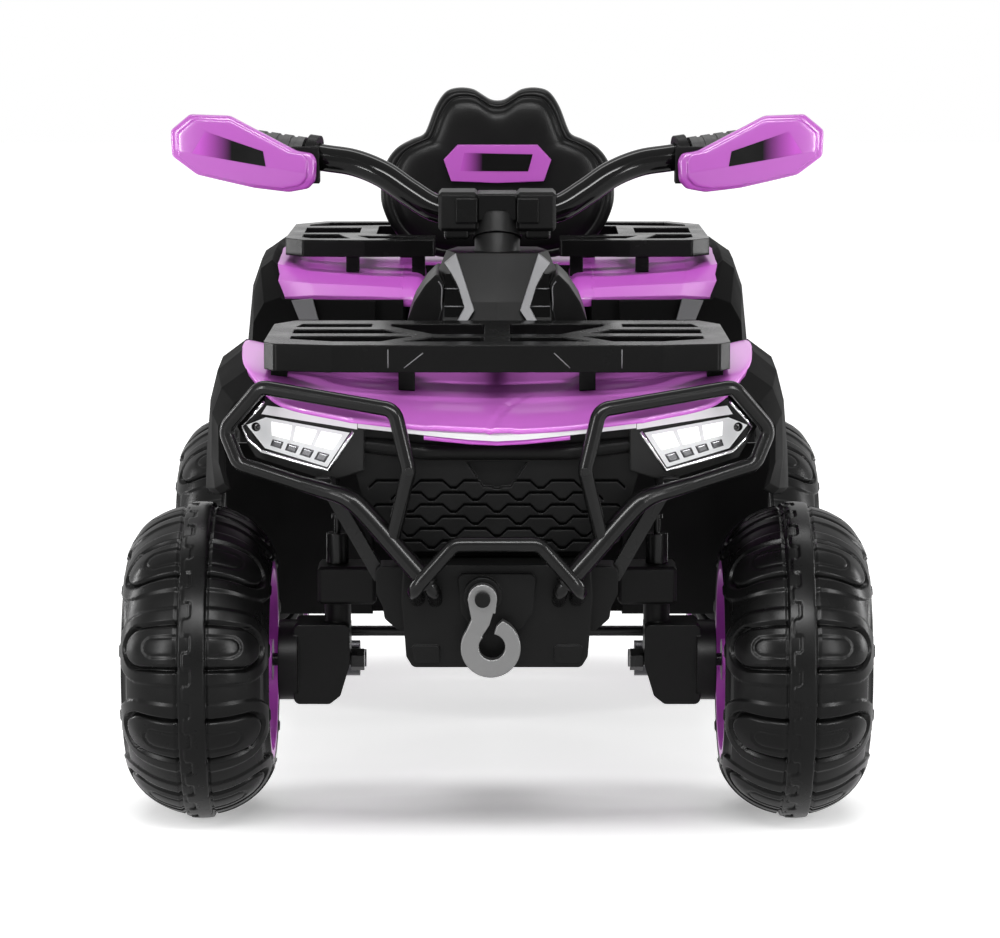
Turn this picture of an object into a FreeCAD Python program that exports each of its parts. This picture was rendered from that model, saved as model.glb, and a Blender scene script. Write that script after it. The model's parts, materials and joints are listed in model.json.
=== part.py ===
import FreeCAD
import Part
import os
from math import atan2, cos, degrees, pi, radians, sin, tan

# Overall size of the quad (mm); every outline below is in shares of these
WIDTH = 700.0
LENGTH = 1050.0
HEIGHT = 657.0
HALF_W = WIDTH / 2
HALF_L = LENGTH / 2

# Wheels
WHEEL_share = 0.2283
WHEEL_R = HEIGHT * WHEEL_share
TYRE_share = 0.4
TYRE_W = HALF_W * TYRE_share
TRACK_HALF = HALF_W - TYRE_W / 2
AXLE_share = 0.6095
AXLE_Y = HALF_L * AXLE_share
AXLE_Z = WHEEL_R
AXLE_R = 6.0
LUGS = 10
LUG_ANGLE = 17.6
BAR_ANGLE = 5.0
LUG_START = 29.5

# Steering
SHAFT_R = 12.0
KINGPIN_share = 0.4314
KINGPIN_X = HALF_W * KINGPIN_share
KINGPIN_R = 8.0
ARM_R = 45.0
ARM_T = 8.0
PIN_R = 4.0
SLOT_W = 10.4
BAR_TUBE_R = 13.5
GRIP_R = 17.5

# Tubes, plates and clearances
BULL_R = 6.8
STAY_R = 6.0
BEND_R = 26.0
PANEL_T = 6.0
EDGE_R = 6.0
RUN = 0.05
GAP = 0.5
MOVE_GAP = 1.5

V = FreeCAD.Vector
ORIGIN = V(0, 0, 0)
X = V(1, 0, 0)
Y = V(0, 1, 0)
Z = V(0, 0, 1)


# Points from shares of the half width, half length and height
def at(shares):
    return [V(x * HALF_W, y * HALF_L, z * HEIGHT) for x, y, z in shares]


# Points of an outline where it turns
def corners(points):
    straight = radians(1)
    rows = zip(points[-1:] + points[:-1], points, points[1:] + points[:1])
    return [here for before, here, after in rows if (here - before).getAngle(after - here) > straight]


# Closed outline with every corner rounded as far as its sides allow
def outline(points, radius=0):
    if radius == 0:
        return Part.makePolygon(points + points[:1])
    points = corners(points)
    edges = []
    ends = []
    side_share = 0.45
    for before, corner, after in zip(points[-1:] + points[:-1], points, points[1:] + points[:1]):
        back = before - corner
        ahead = after - corner
        half = back.getAngle(ahead) / 2
        reach = min(radius / tan(half), side_share * back.Length, side_share * ahead.Length)
        first = corner + back.normalize() * reach
        last = corner + ahead.normalize() * reach
        bow = (back + ahead).normalize() * (reach * tan(half) * (1 / sin(half) - 1))
        ends.append((first, corner + bow, last))
    for here, following in zip(ends, ends[1:] + ends[:1]):
        edges.append(Part.Arc(*here).toShape())
        edges.append(Part.makeLine(here[2], following[0]))
    return Part.Wire(edges)


def prism(points, vector, radius=0):
    return Part.Face(outline(points, radius)).extrude(vector)


# Plates: an outline seen from the front, side or top, with its span along the view
def front_plate(shares, span_shares, radius=0):
    low, high = [y * HALF_L for y in span_shares]
    return prism([V(x * HALF_W, low, z * HEIGHT) for x, z in shares], Y * (high - low), radius)


def side_plate(shares, span_shares, radius=0):
    low, high = [x * HALF_W for x in span_shares]
    return prism([V(low, y * HALF_L, z * HEIGHT) for y, z in shares], X * (high - low), radius)


def top_plate(shares, span_shares, radius=0):
    low, high = [z * HEIGHT for z in span_shares]
    return prism([V(x * HALF_W, y * HALF_L, low) for x, y in shares], Z * (high - low), radius)


# Box between two opposite corners
def block(shares):
    a, b = at(shares)
    return Part.makeBox(b.x - a.x, b.y - a.y, b.z - a.z, a)


# Round bar between two points
def rod(a, b, radius):
    return Part.makeCylinder(radius, (b - a).Length, a, b - a)


# Skin through a row of closed sections
def loft(sections, ruled=True):
    return Part.makeLoft([Part.makePolygon(s + s[:1]) for s in sections], True, ruled)


def mirrored(shape):
    return shape.mirror(ORIGIN, X)


def both(shape):
    return Part.makeCompound([shape, mirrored(shape)])


def joined(shapes):
    return shapes[0].fuse(shapes[1:]).removeSplitter() if len(shapes) > 1 else shapes[0]


# Largest solid of a shape, without offcuts
def trimmed(shape):
    return max(shape.Solids, key=lambda solid: solid.Volume)


# Half outline, listed from the centre line out, closed by its mirror image
def closed_half(half_shares):
    return list(half_shares) + [(-x, v) for x, v in reversed(half_shares) if x > 0]


# Round tube along a bent path
def tube(path, radius, bend):
    edges = []
    start = path[0]
    side_share = 0.48
    for before, corner, after in zip(path, path[1:], path[2:]):
        back = before - corner
        ahead = after - corner
        half = back.getAngle(ahead) / 2
        reach = min(bend / tan(half), side_share * back.Length, side_share * ahead.Length)
        first = corner + back.normalize() * reach
        last = corner + ahead.normalize() * reach
        bow = (back + ahead).normalize() * (reach * tan(half) * (1 / sin(half) - 1))
        edges.append(Part.makeLine(start, first))
        edges.append(Part.Arc(first, corner + bow, last).toShape())
        start = last
    edges.append(Part.makeLine(start, path[-1]))
    ring = Part.Wire(Part.makeCircle(radius, path[0], path[1] - path[0]))
    return Part.Wire(edges).makePipeShell([ring], True, True)


# Skin of a panel: outer line of each section, closed by the same line moved inwards
def panel(rows, inward):
    return loft([row + [p + inward for p in reversed(row)] for row in rows])


# Steering column frame: origin at the foot of the shaft, Z up the shaft
COLUMN_shares = [(0.0, -0.5949, 0.3059), (0.0, -0.32, 0.8234)]
COLUMN_FOOT, COLUMN_HEAD = at(COLUMN_shares)
COLUMN_TILT = degrees(atan2(COLUMN_HEAD.y - COLUMN_FOOT.y, COLUMN_HEAD.z - COLUMN_FOOT.z))

# Where the clamp's cup starts along the column, clear of the flat top of the cover
COVER_TOP_share = 0.8006
CUP_R = 24.0
CUP_GRIP = 8.0
CUP_RISE = CUP_R * sin(radians(COLUMN_TILT)) + MOVE_GAP
CUP_LOW = (HEIGHT * COVER_TOP_share + CUP_RISE - COLUMN_FOOT.z) / cos(radians(COLUMN_TILT))


def on_column(shape):
    shape.rotate(ORIGIN, X, -COLUMN_TILT)
    shape.translate(COLUMN_FOOT)
    return shape


def column_hole(radius):
    return on_column(Part.makeCylinder(radius, HEIGHT * 2, Z * -HEIGHT))


# Wheel pieces are drawn about the X axis at the origin, outer side towards +X
def ring(shares, angle=360.0, start=0):
    points = [V(x * TYRE_W / 2, 0, r * WHEEL_R) for x, r in shares]
    shape = Part.Face(outline(points)).revolve(ORIGIN, X, angle)
    shape.rotate(ORIGIN, X, start)
    return shape


def tyre():
    half_shares = [(0.20, 0.942), (0.40, 0.914), (0.60, 0.860), (0.757, 0.790), (0.871, 0.700),
                   (0.914, 0.645), (0.82, 0.62)]
    lug_half_shares = [(0.20, 0.985), (0.42, 0.957), (0.64, 0.899), (0.82, 0.824), (0.94, 0.737),
                       (1.0, 0.672), (0.90, 0.655)]
    bar_half_shares = [(0.20, 0.977), (0.42, 0.949), (0.64, 0.891), (0.82, 0.816), (0.93, 0.732),
                       (0.98, 0.672), (0.89, 0.655)]
    rib_shares = [(-0.157, 0.92), (-0.157, 0.993), (-0.04, 0.993), (-0.04, 1.0), (0.16, 1.0), (0.16, 0.92)]
    tooth_shares = [(-0.11, 0.97), (-0.11, 1.0), (-0.03, 1.0), (-0.03, 0.97)]
    base_shares = [(-x, r) for x, r in reversed(half_shares)] + half_shares
    lug_shares = [(-x, r) for x, r in reversed(lug_half_shares)] + lug_half_shares
    bar_shares = [(-x, r) for x, r in reversed(bar_half_shares)] + bar_half_shares
    teeth = 3
    pitch = 360.0 / LUGS
    rest = (pitch - LUG_ANGLE - 2 * BAR_ANGLE) / 3
    tread = [ring(rib_shares)]
    for k in range(LUGS):
        start = LUG_START + k * pitch
        first_bar = start + LUG_ANGLE + rest
        tread.append(ring(lug_shares, LUG_ANGLE, start))
        tread.append(ring(bar_shares, BAR_ANGLE, first_bar))
        tread.append(ring(bar_shares, BAR_ANGLE, first_bar + BAR_ANGLE + rest))
        for tooth in range(teeth):
            tread.append(ring(tooth_shares, pitch / teeth / 2, start + tooth * pitch / teeth))
    return ring(base_shares).fuse(tread)


def rim():
    barrel_shares = [(-0.97, 0.575), (-0.97, 0.632), (-0.86, 0.616), (0.82, 0.616), (0.82, 0.56),
                     (0.5, 0.535), (-0.5, 0.535)]
    disc_shares = [(0.10, 0.10), (0.10, 0.30), (0.24, 0.58), (0.42, 0.58), (0.36, 0.30), (0.40, 0.25),
                   (0.40, 0.10)]
    hub_shares = [(-0.96, 0.0), (-0.96, 0.13), (0.50, 0.13), (0.50, 0.0)]
    window_shares = [(0.20, -0.055), (0.47, -0.16), (0.51, 0.0), (0.47, 0.16), (0.20, 0.055)]
    windows = []
    count = 6
    for k in range(count):
        cut = prism([V(0, w * WHEEL_R, r * WHEEL_R) for r, w in window_shares], X * TYRE_W / 2, EDGE_R)
        cut.rotate(ORIGIN, X, k * 360.0 / count)
        windows.append(cut)
    shape = ring(barrel_shares).fuse([ring(disc_shares), ring(hub_shares)])
    bore = Part.makeCylinder(AXLE_R + RUN, TYRE_W * 2, X * -TYRE_W, X)
    return shape.cut(windows + [bore]).removeSplitter()


def hub_cap():
    cap_shares = [(0.40, 0.145), (0.40, 0.19), (0.66, 0.165), (0.73, 0.11), (0.73, 0.0),
                  (0.685, 0.0), (0.685, 0.145)]
    return ring(cap_shares)


def hexagon(radius, length, x):
    turns = [k * pi / 3 for k in range(6)]
    nut = prism([V(0, radius * sin(a), radius * cos(a)) for a in turns], X * length)
    nut.translate(X * x)
    return nut


# Axle end outside the hub: rod end with its nut
NUT_share = 0.52
NUT_T = 6.0
NUT_R = 10.5
AXLE_END = TYRE_W / 2 * NUT_share + NUT_T + MOVE_GAP


def wheel_place(shape, side, end):
    copy = shape.copy()
    copy.translate(V(side * TRACK_HALF, end * AXLE_Y, AXLE_Z))
    return copy


# Kingpin and stub axle of the right front knuckle
def knuckle_pins():
    foot_shares = [0.2801, 0.414, 0.4353, 0.4414]
    nut_shares = [0.36, 0.3957]
    foot, top, clip, tip = [z * HEIGHT for z in foot_shares]
    inner, face = [x * HALF_W for x in nut_shares]
    base = V(KINGPIN_X, -AXLE_Y, 0)
    sleeve_r = 10.5
    clip_r = 5.5
    pin_r = 3.0
    beam_top_shares = [0.3699]
    beam_top = beam_top_shares[0] * HEIGHT
    end = TRACK_HALF + AXLE_END
    hub = TRACK_HALF + TYRE_W / 2 * NUT_share
    pins = [rod(base + Z * foot, base + Z * top, KINGPIN_R),
            rod(base + Z * (beam_top + GAP), base + Z * top, sleeve_r),
            rod(base + Z * top, base + Z * tip, pin_r),
            rod(base + Z * clip, base + Z * tip, clip_r),
            rod(V(inner, -AXLE_Y, AXLE_Z), V(end, -AXLE_Y, AXLE_Z), AXLE_R)]
    for x, length in ((inner, face - inner), (hub, NUT_T)):
        nut = hexagon(NUT_R, length, x)
        nut.translate(V(0, -AXLE_Y, AXLE_Z))
        pins.append(nut)
    return Part.makeCompound([joined(pins[:4]), joined(pins[4:])])


ARM_Z_shares = [0.2709, 0.2831]


# Right front gearbox: upright on the kingpin, gear case beside the wheel, steering arm to the rear
def front_gearbox(pins):
    upright_shares = [
        (0.3971, 0.2283), (0.4229, 0.1826), (0.4514, 0.1705), (0.5486, 0.1705), (0.5486, 0.2861),
        (0.3971, 0.2861)]
    upright_y_shares = [-0.659, -0.56]
    case_x_shares = [0.5371, 0.59]
    boss_z_shares = [0.2831, 0.3142]
    case_r = 38.0
    motor_r = 24.0
    boss_r = 12.5
    waist_shares = [(-0.6095, 0.2861), (-0.499, 0.2496), (-0.499, 0.1766), (-0.6095, 0.1705)]
    arm_w = 20.0
    x0, x1 = [x * HALF_W for x in case_x_shares]
    z0, z1 = [z * HEIGHT for z in boss_z_shares]
    a0, a1 = [z * HEIGHT for z in ARM_Z_shares]
    motor = MOTOR_AT
    base = V(KINGPIN_X, -AXLE_Y, 0)
    arm = Part.makeBox(arm_w, ARM_R + arm_w / 2, a1 - a0, base + V(-arm_w / 2, 0, a0))
    tip = Part.makeCylinder(arm_w / 2, a1 - a0, base + V(0, ARM_R + arm_w / 2, a0))
    slot = Part.makeBox(SLOT_W, SLOT_W + 2 * MOVE_GAP, a1, base + V(-SLOT_W / 2, ARM_R - SLOT_W / 2, 0))
    shape = joined([front_plate(upright_shares, upright_y_shares, EDGE_R),
                    rod(V(x0, -AXLE_Y, AXLE_Z), V(x1, -AXLE_Y, AXLE_Z), case_r),
                    rod(V(x0, motor.y, motor.z), V(x1, motor.y, motor.z), motor_r),
                    side_plate(waist_shares, case_x_shares),
                    rod(base + Z * z0, base + Z * z1, boss_r), arm, tip])
    return shape.cut([slot, pins])


MOTOR_shares = [(0.3771, -0.499, 0.2131)]
MOTOR_AT = at(MOTOR_shares)[0]
MOTOR_R = 17.0


# Right front motor behind the upright
def front_motor():
    face_shares = [0.36, 0.5371]
    tail, face = [x * HALF_W for x in face_shares]
    can = rod(MOTOR_AT, V(face, MOTOR_AT.y, MOTOR_AT.z), MOTOR_R)
    return can.fuse(rod(V(tail, MOTOR_AT.y, MOTOR_AT.z), MOTOR_AT, MOTOR_R / 2)).removeSplitter()


# Tie rod: two round bars, end pins up into the steering arms and a slotted plate under the column arm
def tie_rod():
    rod_r = 5.0
    pin_shares = [0.2892]
    inner_x = SLOT_W
    pin_top = pin_shares[0] * HEIGHT
    y = ARM_R - AXLE_Y
    plate_w = 34.0
    plate_l = 34.0
    plate_top = -ARM_T - PIN_R
    plate_t = 7.0
    washer_r = 8.5
    level = on_column(Part.Vertex(V(0, ARM_R, plate_top - plate_t / 2))).Point.z
    washer_top = ARM_Z_shares[0] * HEIGHT - RUN
    slot_l = SLOT_W + 2 * PIN_R
    plate = Part.makeBox(plate_w, plate_l, plate_t, V(-plate_w / 2, ARM_R - plate_l / 2, plate_top - plate_t))
    slot = Part.makeBox(SLOT_W, slot_l, HEIGHT, V(-SLOT_W / 2, ARM_R - slot_l / 2, -HEIGHT / 2))
    pieces = [on_column(plate)]
    for side in (-1, 1):
        end = V(side * (KINGPIN_X + rod_r * 2), y, level)
        pieces.append(rod(V(side * inner_x, y, level), end, rod_r))
        foot = V(side * KINGPIN_X, y, level)
        pieces.append(rod(foot, V(foot.x, y, pin_top), PIN_R))
        pieces.append(rod(foot, V(foot.x, y, washer_top), washer_r))
    return joined(pieces).cut(on_column(slot))


# Column shaft with its arm and drive pin at the foot
def steering_shaft():
    arm_w = 22.0
    pin_l = 15.0
    arm = Part.makeBox(arm_w, ARM_R + PIN_R * 2, ARM_T, V(-arm_w / 2, 0, -ARM_T))
    pin = Part.makeCylinder(PIN_R, pin_l + ARM_T, V(0, ARM_R, -pin_l - ARM_T))
    shaft = Part.makeCylinder(SHAFT_R, CUP_LOW + CUP_GRIP + ARM_T, Z * -ARM_T)
    return on_column(joined([shaft, arm, pin]))


BUSH_R = 15.5


# Bushes that the column turns in, one in the axle beam and one in the column cover
def column_bushes():
    low_shares = [0.0198, 0.0472]
    high_shares = [0.484, 0.5175]
    rings = []
    for low, high in (low_shares, high_shares):
        length = (high - low) * HEIGHT
        sleeve = Part.makeCylinder(BUSH_R, length).cut(Part.makeCylinder(SHAFT_R + RUN, length))
        sleeve.translate(Z * low * HEIGHT)
        rings.append(on_column(sleeve))
    return Part.makeCompound(rings)


BAR_shares = [
    (-0.8714, -0.1752, 0.9589), (-0.4914, -0.2286, 0.9315), (-0.3943, -0.2438, 0.9269),
    (-0.32, -0.2629, 0.9072), (-0.16, -0.2895, 0.8539), (0.16, -0.2895, 0.8539),
    (0.32, -0.2629, 0.9072), (0.3943, -0.2438, 0.9269), (0.4914, -0.2286, 0.9315),
    (0.8714, -0.1752, 0.9589)]


def handlebar():
    return tube(at(BAR_shares), BAR_TUBE_R, BEND_R)


# Stem cup on the shaft with two square clamp blocks on the bar
def handlebar_clamp(bar, shaft):
    block_shares = [(0.0543, -0.3505, 0.8295), (0.1629, -0.2495, 0.8874)]
    bridge_shares = [(-0.0857, -0.339, 0.8234), (0.0857, -0.2552, 0.8463)]
    cup_l = 21.0
    cup = on_column(Part.makeCylinder(CUP_R, cup_l, Z * CUP_LOW))
    side = block(block_shares)
    side = side.makeChamfer(EDGE_R / 2, side.Edges)
    shape = joined([side, mirrored(side), block(bridge_shares), cup])
    return shape.cut([bar, shaft])


# Right grip, a ribbed sleeve on the bar end
def grip(bar):
    start, end = at(BAR_shares)[-2:]
    along = (end - start).normalize()
    inner_shares = [0.0514, 0.4]
    low, high = [x * HALF_W for x in inner_shares]
    ribs = 9
    pitch = (high - low) / ribs
    groove = 1.2
    rib_share = 0.6
    pieces = [rod(start + along * low, start + along * (high + GAP), GRIP_R - groove)]
    for k in range(ribs):
        a = low + k * pitch
        pieces.append(rod(start + along * a, start + along * (a + pitch * rib_share), GRIP_R))
    return joined(pieces).cut(bar)


GUARD_shares = [
    (0.56, 0.9619), (0.6457, 0.9787), (0.74, 0.997), (0.8571, 1.0), (0.9029, 0.9848),
    (0.9171, 0.9589), (0.9114, 0.9391), (0.8486, 0.9072), (0.6343, 0.8798), (0.5514, 0.8813),
    (0.5143, 0.895)]


# Right hand guard: faceted shell in front of the grip
def hand_guard():
    back_shares = [-0.2686, -0.2857, -0.3086]
    middle_shares = [(0.7314, 0.9422)]
    decal_shares = [(0.68, 0.9482), (0.8457, 0.965), (0.8229, 0.933), (0.6514, 0.9163)]
    decal_t = 1.5
    shrink_share = 0.62
    y0, y1, y2 = [y * HALF_L for y in back_shares]
    cx, cz = middle_shares[0]
    rim_line = [(x * HALF_W, z * HEIGHT) for x, z in GUARD_shares]
    face_line = [((cx + (x - cx) * shrink_share) * HALF_W, (cz + (z - cz) * shrink_share) * HEIGHT)
                 for x, z in GUARD_shares]
    rows = [[V(x, y0, z) for x, z in rim_line], [V(x, y1, z) for x, z in rim_line],
            [V(x, y2, z) for x, z in face_line]]
    decal = prism([V(x * HALF_W, y2, z * HEIGHT) for x, z in decal_shares], Y * decal_t)
    return loft(rows[:2]).fuse(loft(rows[1:])).removeSplitter().cut(decal)


# Right guard clamp: collar on the bar with an arm to the back of the guard
def guard_clamp(bar):
    arm_shares = [(0.4971, -0.2686, 0.895), (0.5771, -0.2133, 0.9498)]
    collar_r = 21.0
    collar_shares = [0.0114, 0.04]
    start, end = at(BAR_shares)[-2:]
    along = (end - start).normalize()
    low, high = [x * HALF_W for x in collar_shares]
    collar = rod(start + along * low, start + along * high, collar_r)
    reach = at(arm_shares)
    arm = Part.makeBox(collar_r / 2, reach[1].y - reach[0].y, reach[1].z - reach[0].z, reach[0])
    foot = Part.makeBox(reach[1].x - reach[0].x, PANEL_T, reach[1].z - reach[0].z, reach[0])
    return joined([collar, arm, foot]).cut(bar)


# Beam across the front with a kingpin boss at each end and the lower column seat in the middle
def front_axle_beam():
    arm_shares = [(-0.3429, -0.6438, 0.3242), (0.3429, -0.5752, 0.3607)]
    seat_shares = [(-0.1143, -0.6571, 0.3151), (0.1143, -0.499, 0.3699)]
    boss_shares = [(0.3257, -0.6552, 0.3151), (0.4829, -0.5638, 0.3699)]
    boss = block(boss_shares)
    boss = boss.makeChamfer(EDGE_R / 2, boss.Edges)
    pieces = [block(arm_shares), block(seat_shares), boss, mirrored(boss)]
    holes = [column_hole(BUSH_R)]
    for side in (-1, 1):
        holes.append(Part.makeCylinder(KINGPIN_R + RUN, HEIGHT, V(side * KINGPIN_X, -AXLE_Y, 0)))
    return joined(pieces).cut(holes)


# Half rows of a body skin, from the centre line out, mirrored to full rows
def full_rows(rows_shares):
    rows = []
    for y, half in rows_shares:
        line = [(-x, z) for x, z in reversed(half) if x > 0] + list(half)
        rows.append([V(x * HALF_W, y * HALF_L, z * HEIGHT) for x, z in line])
    return rows


def side_rows(stations_shares, lines_shares):
    return [[V(x * HALF_W, y * HALF_L, z * HEIGHT) for x, z in line]
            for y, line in zip(stations_shares, lines_shares)]


# Lower edge of the light strip, seen from the front
SMILE_shares = [
    (0.0, 0.5814), (0.0714, 0.5833), (0.1429, 0.5869), (0.2143, 0.591), (0.2857, 0.5945),
    (0.36, 0.5976)]


# Strip along that curve: a thickness in z, kept within an outline seen from above
def curved_strip(plan_shares, thickness):
    edge = [(-x, z) for x, z in reversed(SMILE_shares[1:])] + SMILE_shares
    low = [V(x * HALF_W, -HALF_L, z * HEIGHT) for x, z in edge]
    high = [point + Z * thickness for point in reversed(low)]
    tall_shares = [0.0, 1.0]
    return prism(low + high, Y * HALF_L).common(top_plate(closed_half(plan_shares), tall_shares))


def front_cowl():
    station_shares = [-0.9181, -0.8667, -0.781, -0.6286, -0.4571, -0.3581]
    half_shares = [
        [(0.0, 0.5974), (0.1429, 0.6005), (0.2714, 0.6073), (0.3371, 0.6119), (0.3743, 0.6142)],
        [(0.0, 0.6164), (0.1571, 0.6195), (0.3143, 0.6271), (0.4571, 0.6317), (0.56, 0.6301)],
        [(0.0, 0.6332), (0.1714, 0.6362), (0.3429, 0.6423), (0.5286, 0.656), (0.6457, 0.6636)],
        [(0.0, 0.6454), (0.1714, 0.6484), (0.3714, 0.6545), (0.5429, 0.6621), (0.6829, 0.6773)],
        [(0.0, 0.6514), (0.1714, 0.6545), (0.3714, 0.6591), (0.5571, 0.6651), (0.6829, 0.6788)],
        [(0.0, 0.6514), (0.1714, 0.6545), (0.3429, 0.6545), (0.5143, 0.653), (0.6457, 0.6575)]]
    lip_shares = [(0.0, -0.9105), (0.1886, -0.9086), (0.1886, -0.861), (0.0, -0.861)]
    lip_t = 4.4
    skin = panel(full_rows(zip(station_shares, half_shares)), Z * -PANEL_T)
    lip = curved_strip(lip_shares, -lip_t)
    return Part.makeCompound([skin.cut(column_hole(BUSH_R + MOVE_GAP)), lip])


# Left front flare, over the tyre
def front_fender(cowl):
    station_shares = [-0.8152, -0.7524, -0.6286, -0.4571, -0.3143, -0.2381]
    line_shares = [
        [(0.6171, 0.6484), (0.6857, 0.624), (0.7286, 0.5906), (0.7286, 0.5403), (0.7143, 0.5114)],
        [(0.6571, 0.6651), (0.7257, 0.6393), (0.7514, 0.6027), (0.7543, 0.5419), (0.7457, 0.4962)],
        [(0.6857, 0.6788), (0.7486, 0.6514), (0.7686, 0.6088), (0.78, 0.5327), (0.7829, 0.4825)],
        [(0.6857, 0.6804), (0.7514, 0.6545), (0.7771, 0.6088), (0.7943, 0.5358), (0.8, 0.4901)],
        [(0.6571, 0.6621), (0.7371, 0.6332), (0.7714, 0.5906), (0.7943, 0.5327), (0.8, 0.4932)],
        [(0.5886, 0.6164), (0.7029, 0.5967), (0.7514, 0.5632), (0.78, 0.5266), (0.7857, 0.4932)]]
    skin = panel(side_rows(station_shares, line_shares), V(-PANEL_T, 0, -PANEL_T))
    return skin.cut(cowl)


# Headlight planes fall back towards the side
LAMP_shares = [(0.3714, -0.8667)]
LAMP_FALL = 0.427


def lamp_plate(shares, forward, depth, radius=0):
    x0, y0 = LAMP_shares[0]
    points = []
    for x, z in shares:
        y = y0 * HALF_L - forward + (x - x0) * HALF_W * LAMP_FALL
        points.append(V(x * HALF_W, y, z * HEIGHT))
    return prism(points, Y * depth, radius)


LENS_shares = [
    (0.3829, 0.5875), (0.6057, 0.6021), (0.6571, 0.5898), (0.6086, 0.5586), (0.4429, 0.5373)]
STRIP_shares = [(0.3629, 0.5928), (0.3629, 0.6081), (0.6029, 0.6187), (0.6171, 0.6064)]
LENS_T = 12.0
POD_T = 34.0


# Groove across the grille in flat crests joined by short dips
def wave_groove(place, count, front, depth):
    crest_shares = [(-0.435, -1.0), (-0.26, 0.0), (0.26, 0.0), (0.435, -1.0)]
    pitch_shares = [0.1137]
    dip_shares = [0.01]
    groove_w = 2.6
    high = []
    for k in range(count):
        middle = k - (count - 1) / 2
        for u, v in crest_shares:
            x = (middle + u) * pitch_shares[0] * HALF_W
            high.append(V(x, front, place + v * dip_shares[0] * HEIGHT))
    low = [point - Z * groove_w for point in reversed(high)]
    return prism(high + low, Y * depth)


# Grille of wavy scales under a round brow, between the two headlight housings
def front_fascia():
    half_shares = [
        (0.0, 0.5997), (0.3543, 0.6149), (0.3657, 0.5266), (0.32, 0.4353), (0.2743, 0.4201),
        (0.0, 0.4201)]
    pod_shares = [
        (0.3429, 0.6134), (0.6086, 0.6286), (0.6857, 0.589), (0.6343, 0.5449), (0.4343, 0.5175),
        (0.3457, 0.5358)]
    y_shares = [-0.861, -0.8267]
    brow_shares = [
        (-0.3486, -0.8552, 0.5708), (-0.1886, -0.8686, 0.5616), (0.1886, -0.8686, 0.5616),
        (0.3486, -0.8552, 0.5708)]
    nose_shares = [(0.0, 0.5464), (0.08, 0.5464), (0.0357, 0.5107), (0.0, 0.5107)]
    row_shares = [0.5224, 0.5055, 0.4886, 0.4717, 0.4548, 0.4379]
    crests = 5
    groove_d = 8.0
    brow_r = 7.6
    front = y_shares[0] * HALF_L
    pod = lamp_plate(pod_shares, 0, POD_T)
    shape = joined([front_plate(closed_half(half_shares), y_shares), tube(at(brow_shares), brow_r, BEND_R),
                    pod, mirrored(pod)])
    cuts = [prism([V(x * HALF_W, front, z * HEIGHT) for x, z in closed_half(nose_shares)], Y * groove_d)]
    for row, z in enumerate(row_shares):
        cuts.append(wave_groove(z * HEIGHT, crests + 1 - row % 2, front, groove_d))
    for pocket_shares in (LENS_shares, STRIP_shares):
        pocket = lamp_plate(pocket_shares, GAP, LENS_T + GAP)
        cuts += [pocket, mirrored(pocket)]
    return shape.cut(cuts)


def headlight_lenses():
    return both(lamp_plate(LENS_shares, 0, LENS_T))


# Light strip across the middle and on along the top of each headlight
def light_bar(cowl, fascia):
    bar_shares = [(0.0, -0.9162), (0.2571, -0.9105), (0.36, -0.8952), (0.36, -0.861), (0.0, -0.861)]
    strip_t = 9.4
    side = lamp_plate(STRIP_shares, 0, LENS_T)
    middle = curved_strip(bar_shares, strip_t).cut([cowl, fascia])
    return Part.makeCompound([middle, side.cut(middle), mirrored(side.cut(middle))])


# Tubular guard: a loop round each headlight and a hoop under the grille
def bull_bar(skid, fascia):
    riser_shares = [
        (0.2714, -0.939, 0.4429), (0.2257, -0.9619, 0.5464), (0.2629, -0.9524, 0.6286),
        (0.6114, -0.88, 0.653), (0.7086, -0.8457, 0.5906), (0.6714, -0.8571, 0.5434),
        (0.52, -0.8876, 0.5213)]
    lower_shares = [
        (0.52, -0.8876, 0.5213), (0.3686, -0.9181, 0.4992), (0.1629, -0.9619, 0.3805),
        (0.16, -0.9143, 0.3592)]
    hoop_shares = [
        (-0.2057, -0.9219, 0.3623), (-0.2143, -0.9867, 0.3836), (-0.1086, -0.987, 0.4475),
        (0.1086, -0.987, 0.4475), (0.2143, -0.9867, 0.3836), (0.2057, -0.9219, 0.3623)]
    stay_shares = [(0.4286, -0.9067, 0.5084), (0.4286, -0.8095, 0.5205)]
    riser = tube(at(riser_shares), BULL_R, BEND_R / 2)
    lower = tube(at(lower_shares), BULL_R, BEND_R / 2)
    stay = rod(*at(stay_shares), STAY_R)
    hoop = tube(at(hoop_shares), BULL_R, BEND_R / 2)
    half = riser.fuse([lower, stay])
    return half.fuse([mirrored(half), hoop]).cut([skid, fascia])


# Flat braces behind the bull bar, from the headlight housings down to the skid
def bull_bar_braces(others):
    brace_shares = [(0.4343, 0.5251), (0.4743, 0.5251), (0.32, 0.3805), (0.28, 0.3805)]
    y_shares = [-0.8724, -0.8381]
    return both(front_plate(brace_shares, y_shares).cut(others))


HOOK_PIN_shares = [(-0.0371, 0.3699)]
HOOK_Y_shares = [-0.9524, -0.9752]
HOOK_PIN_R = 4.0


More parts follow.
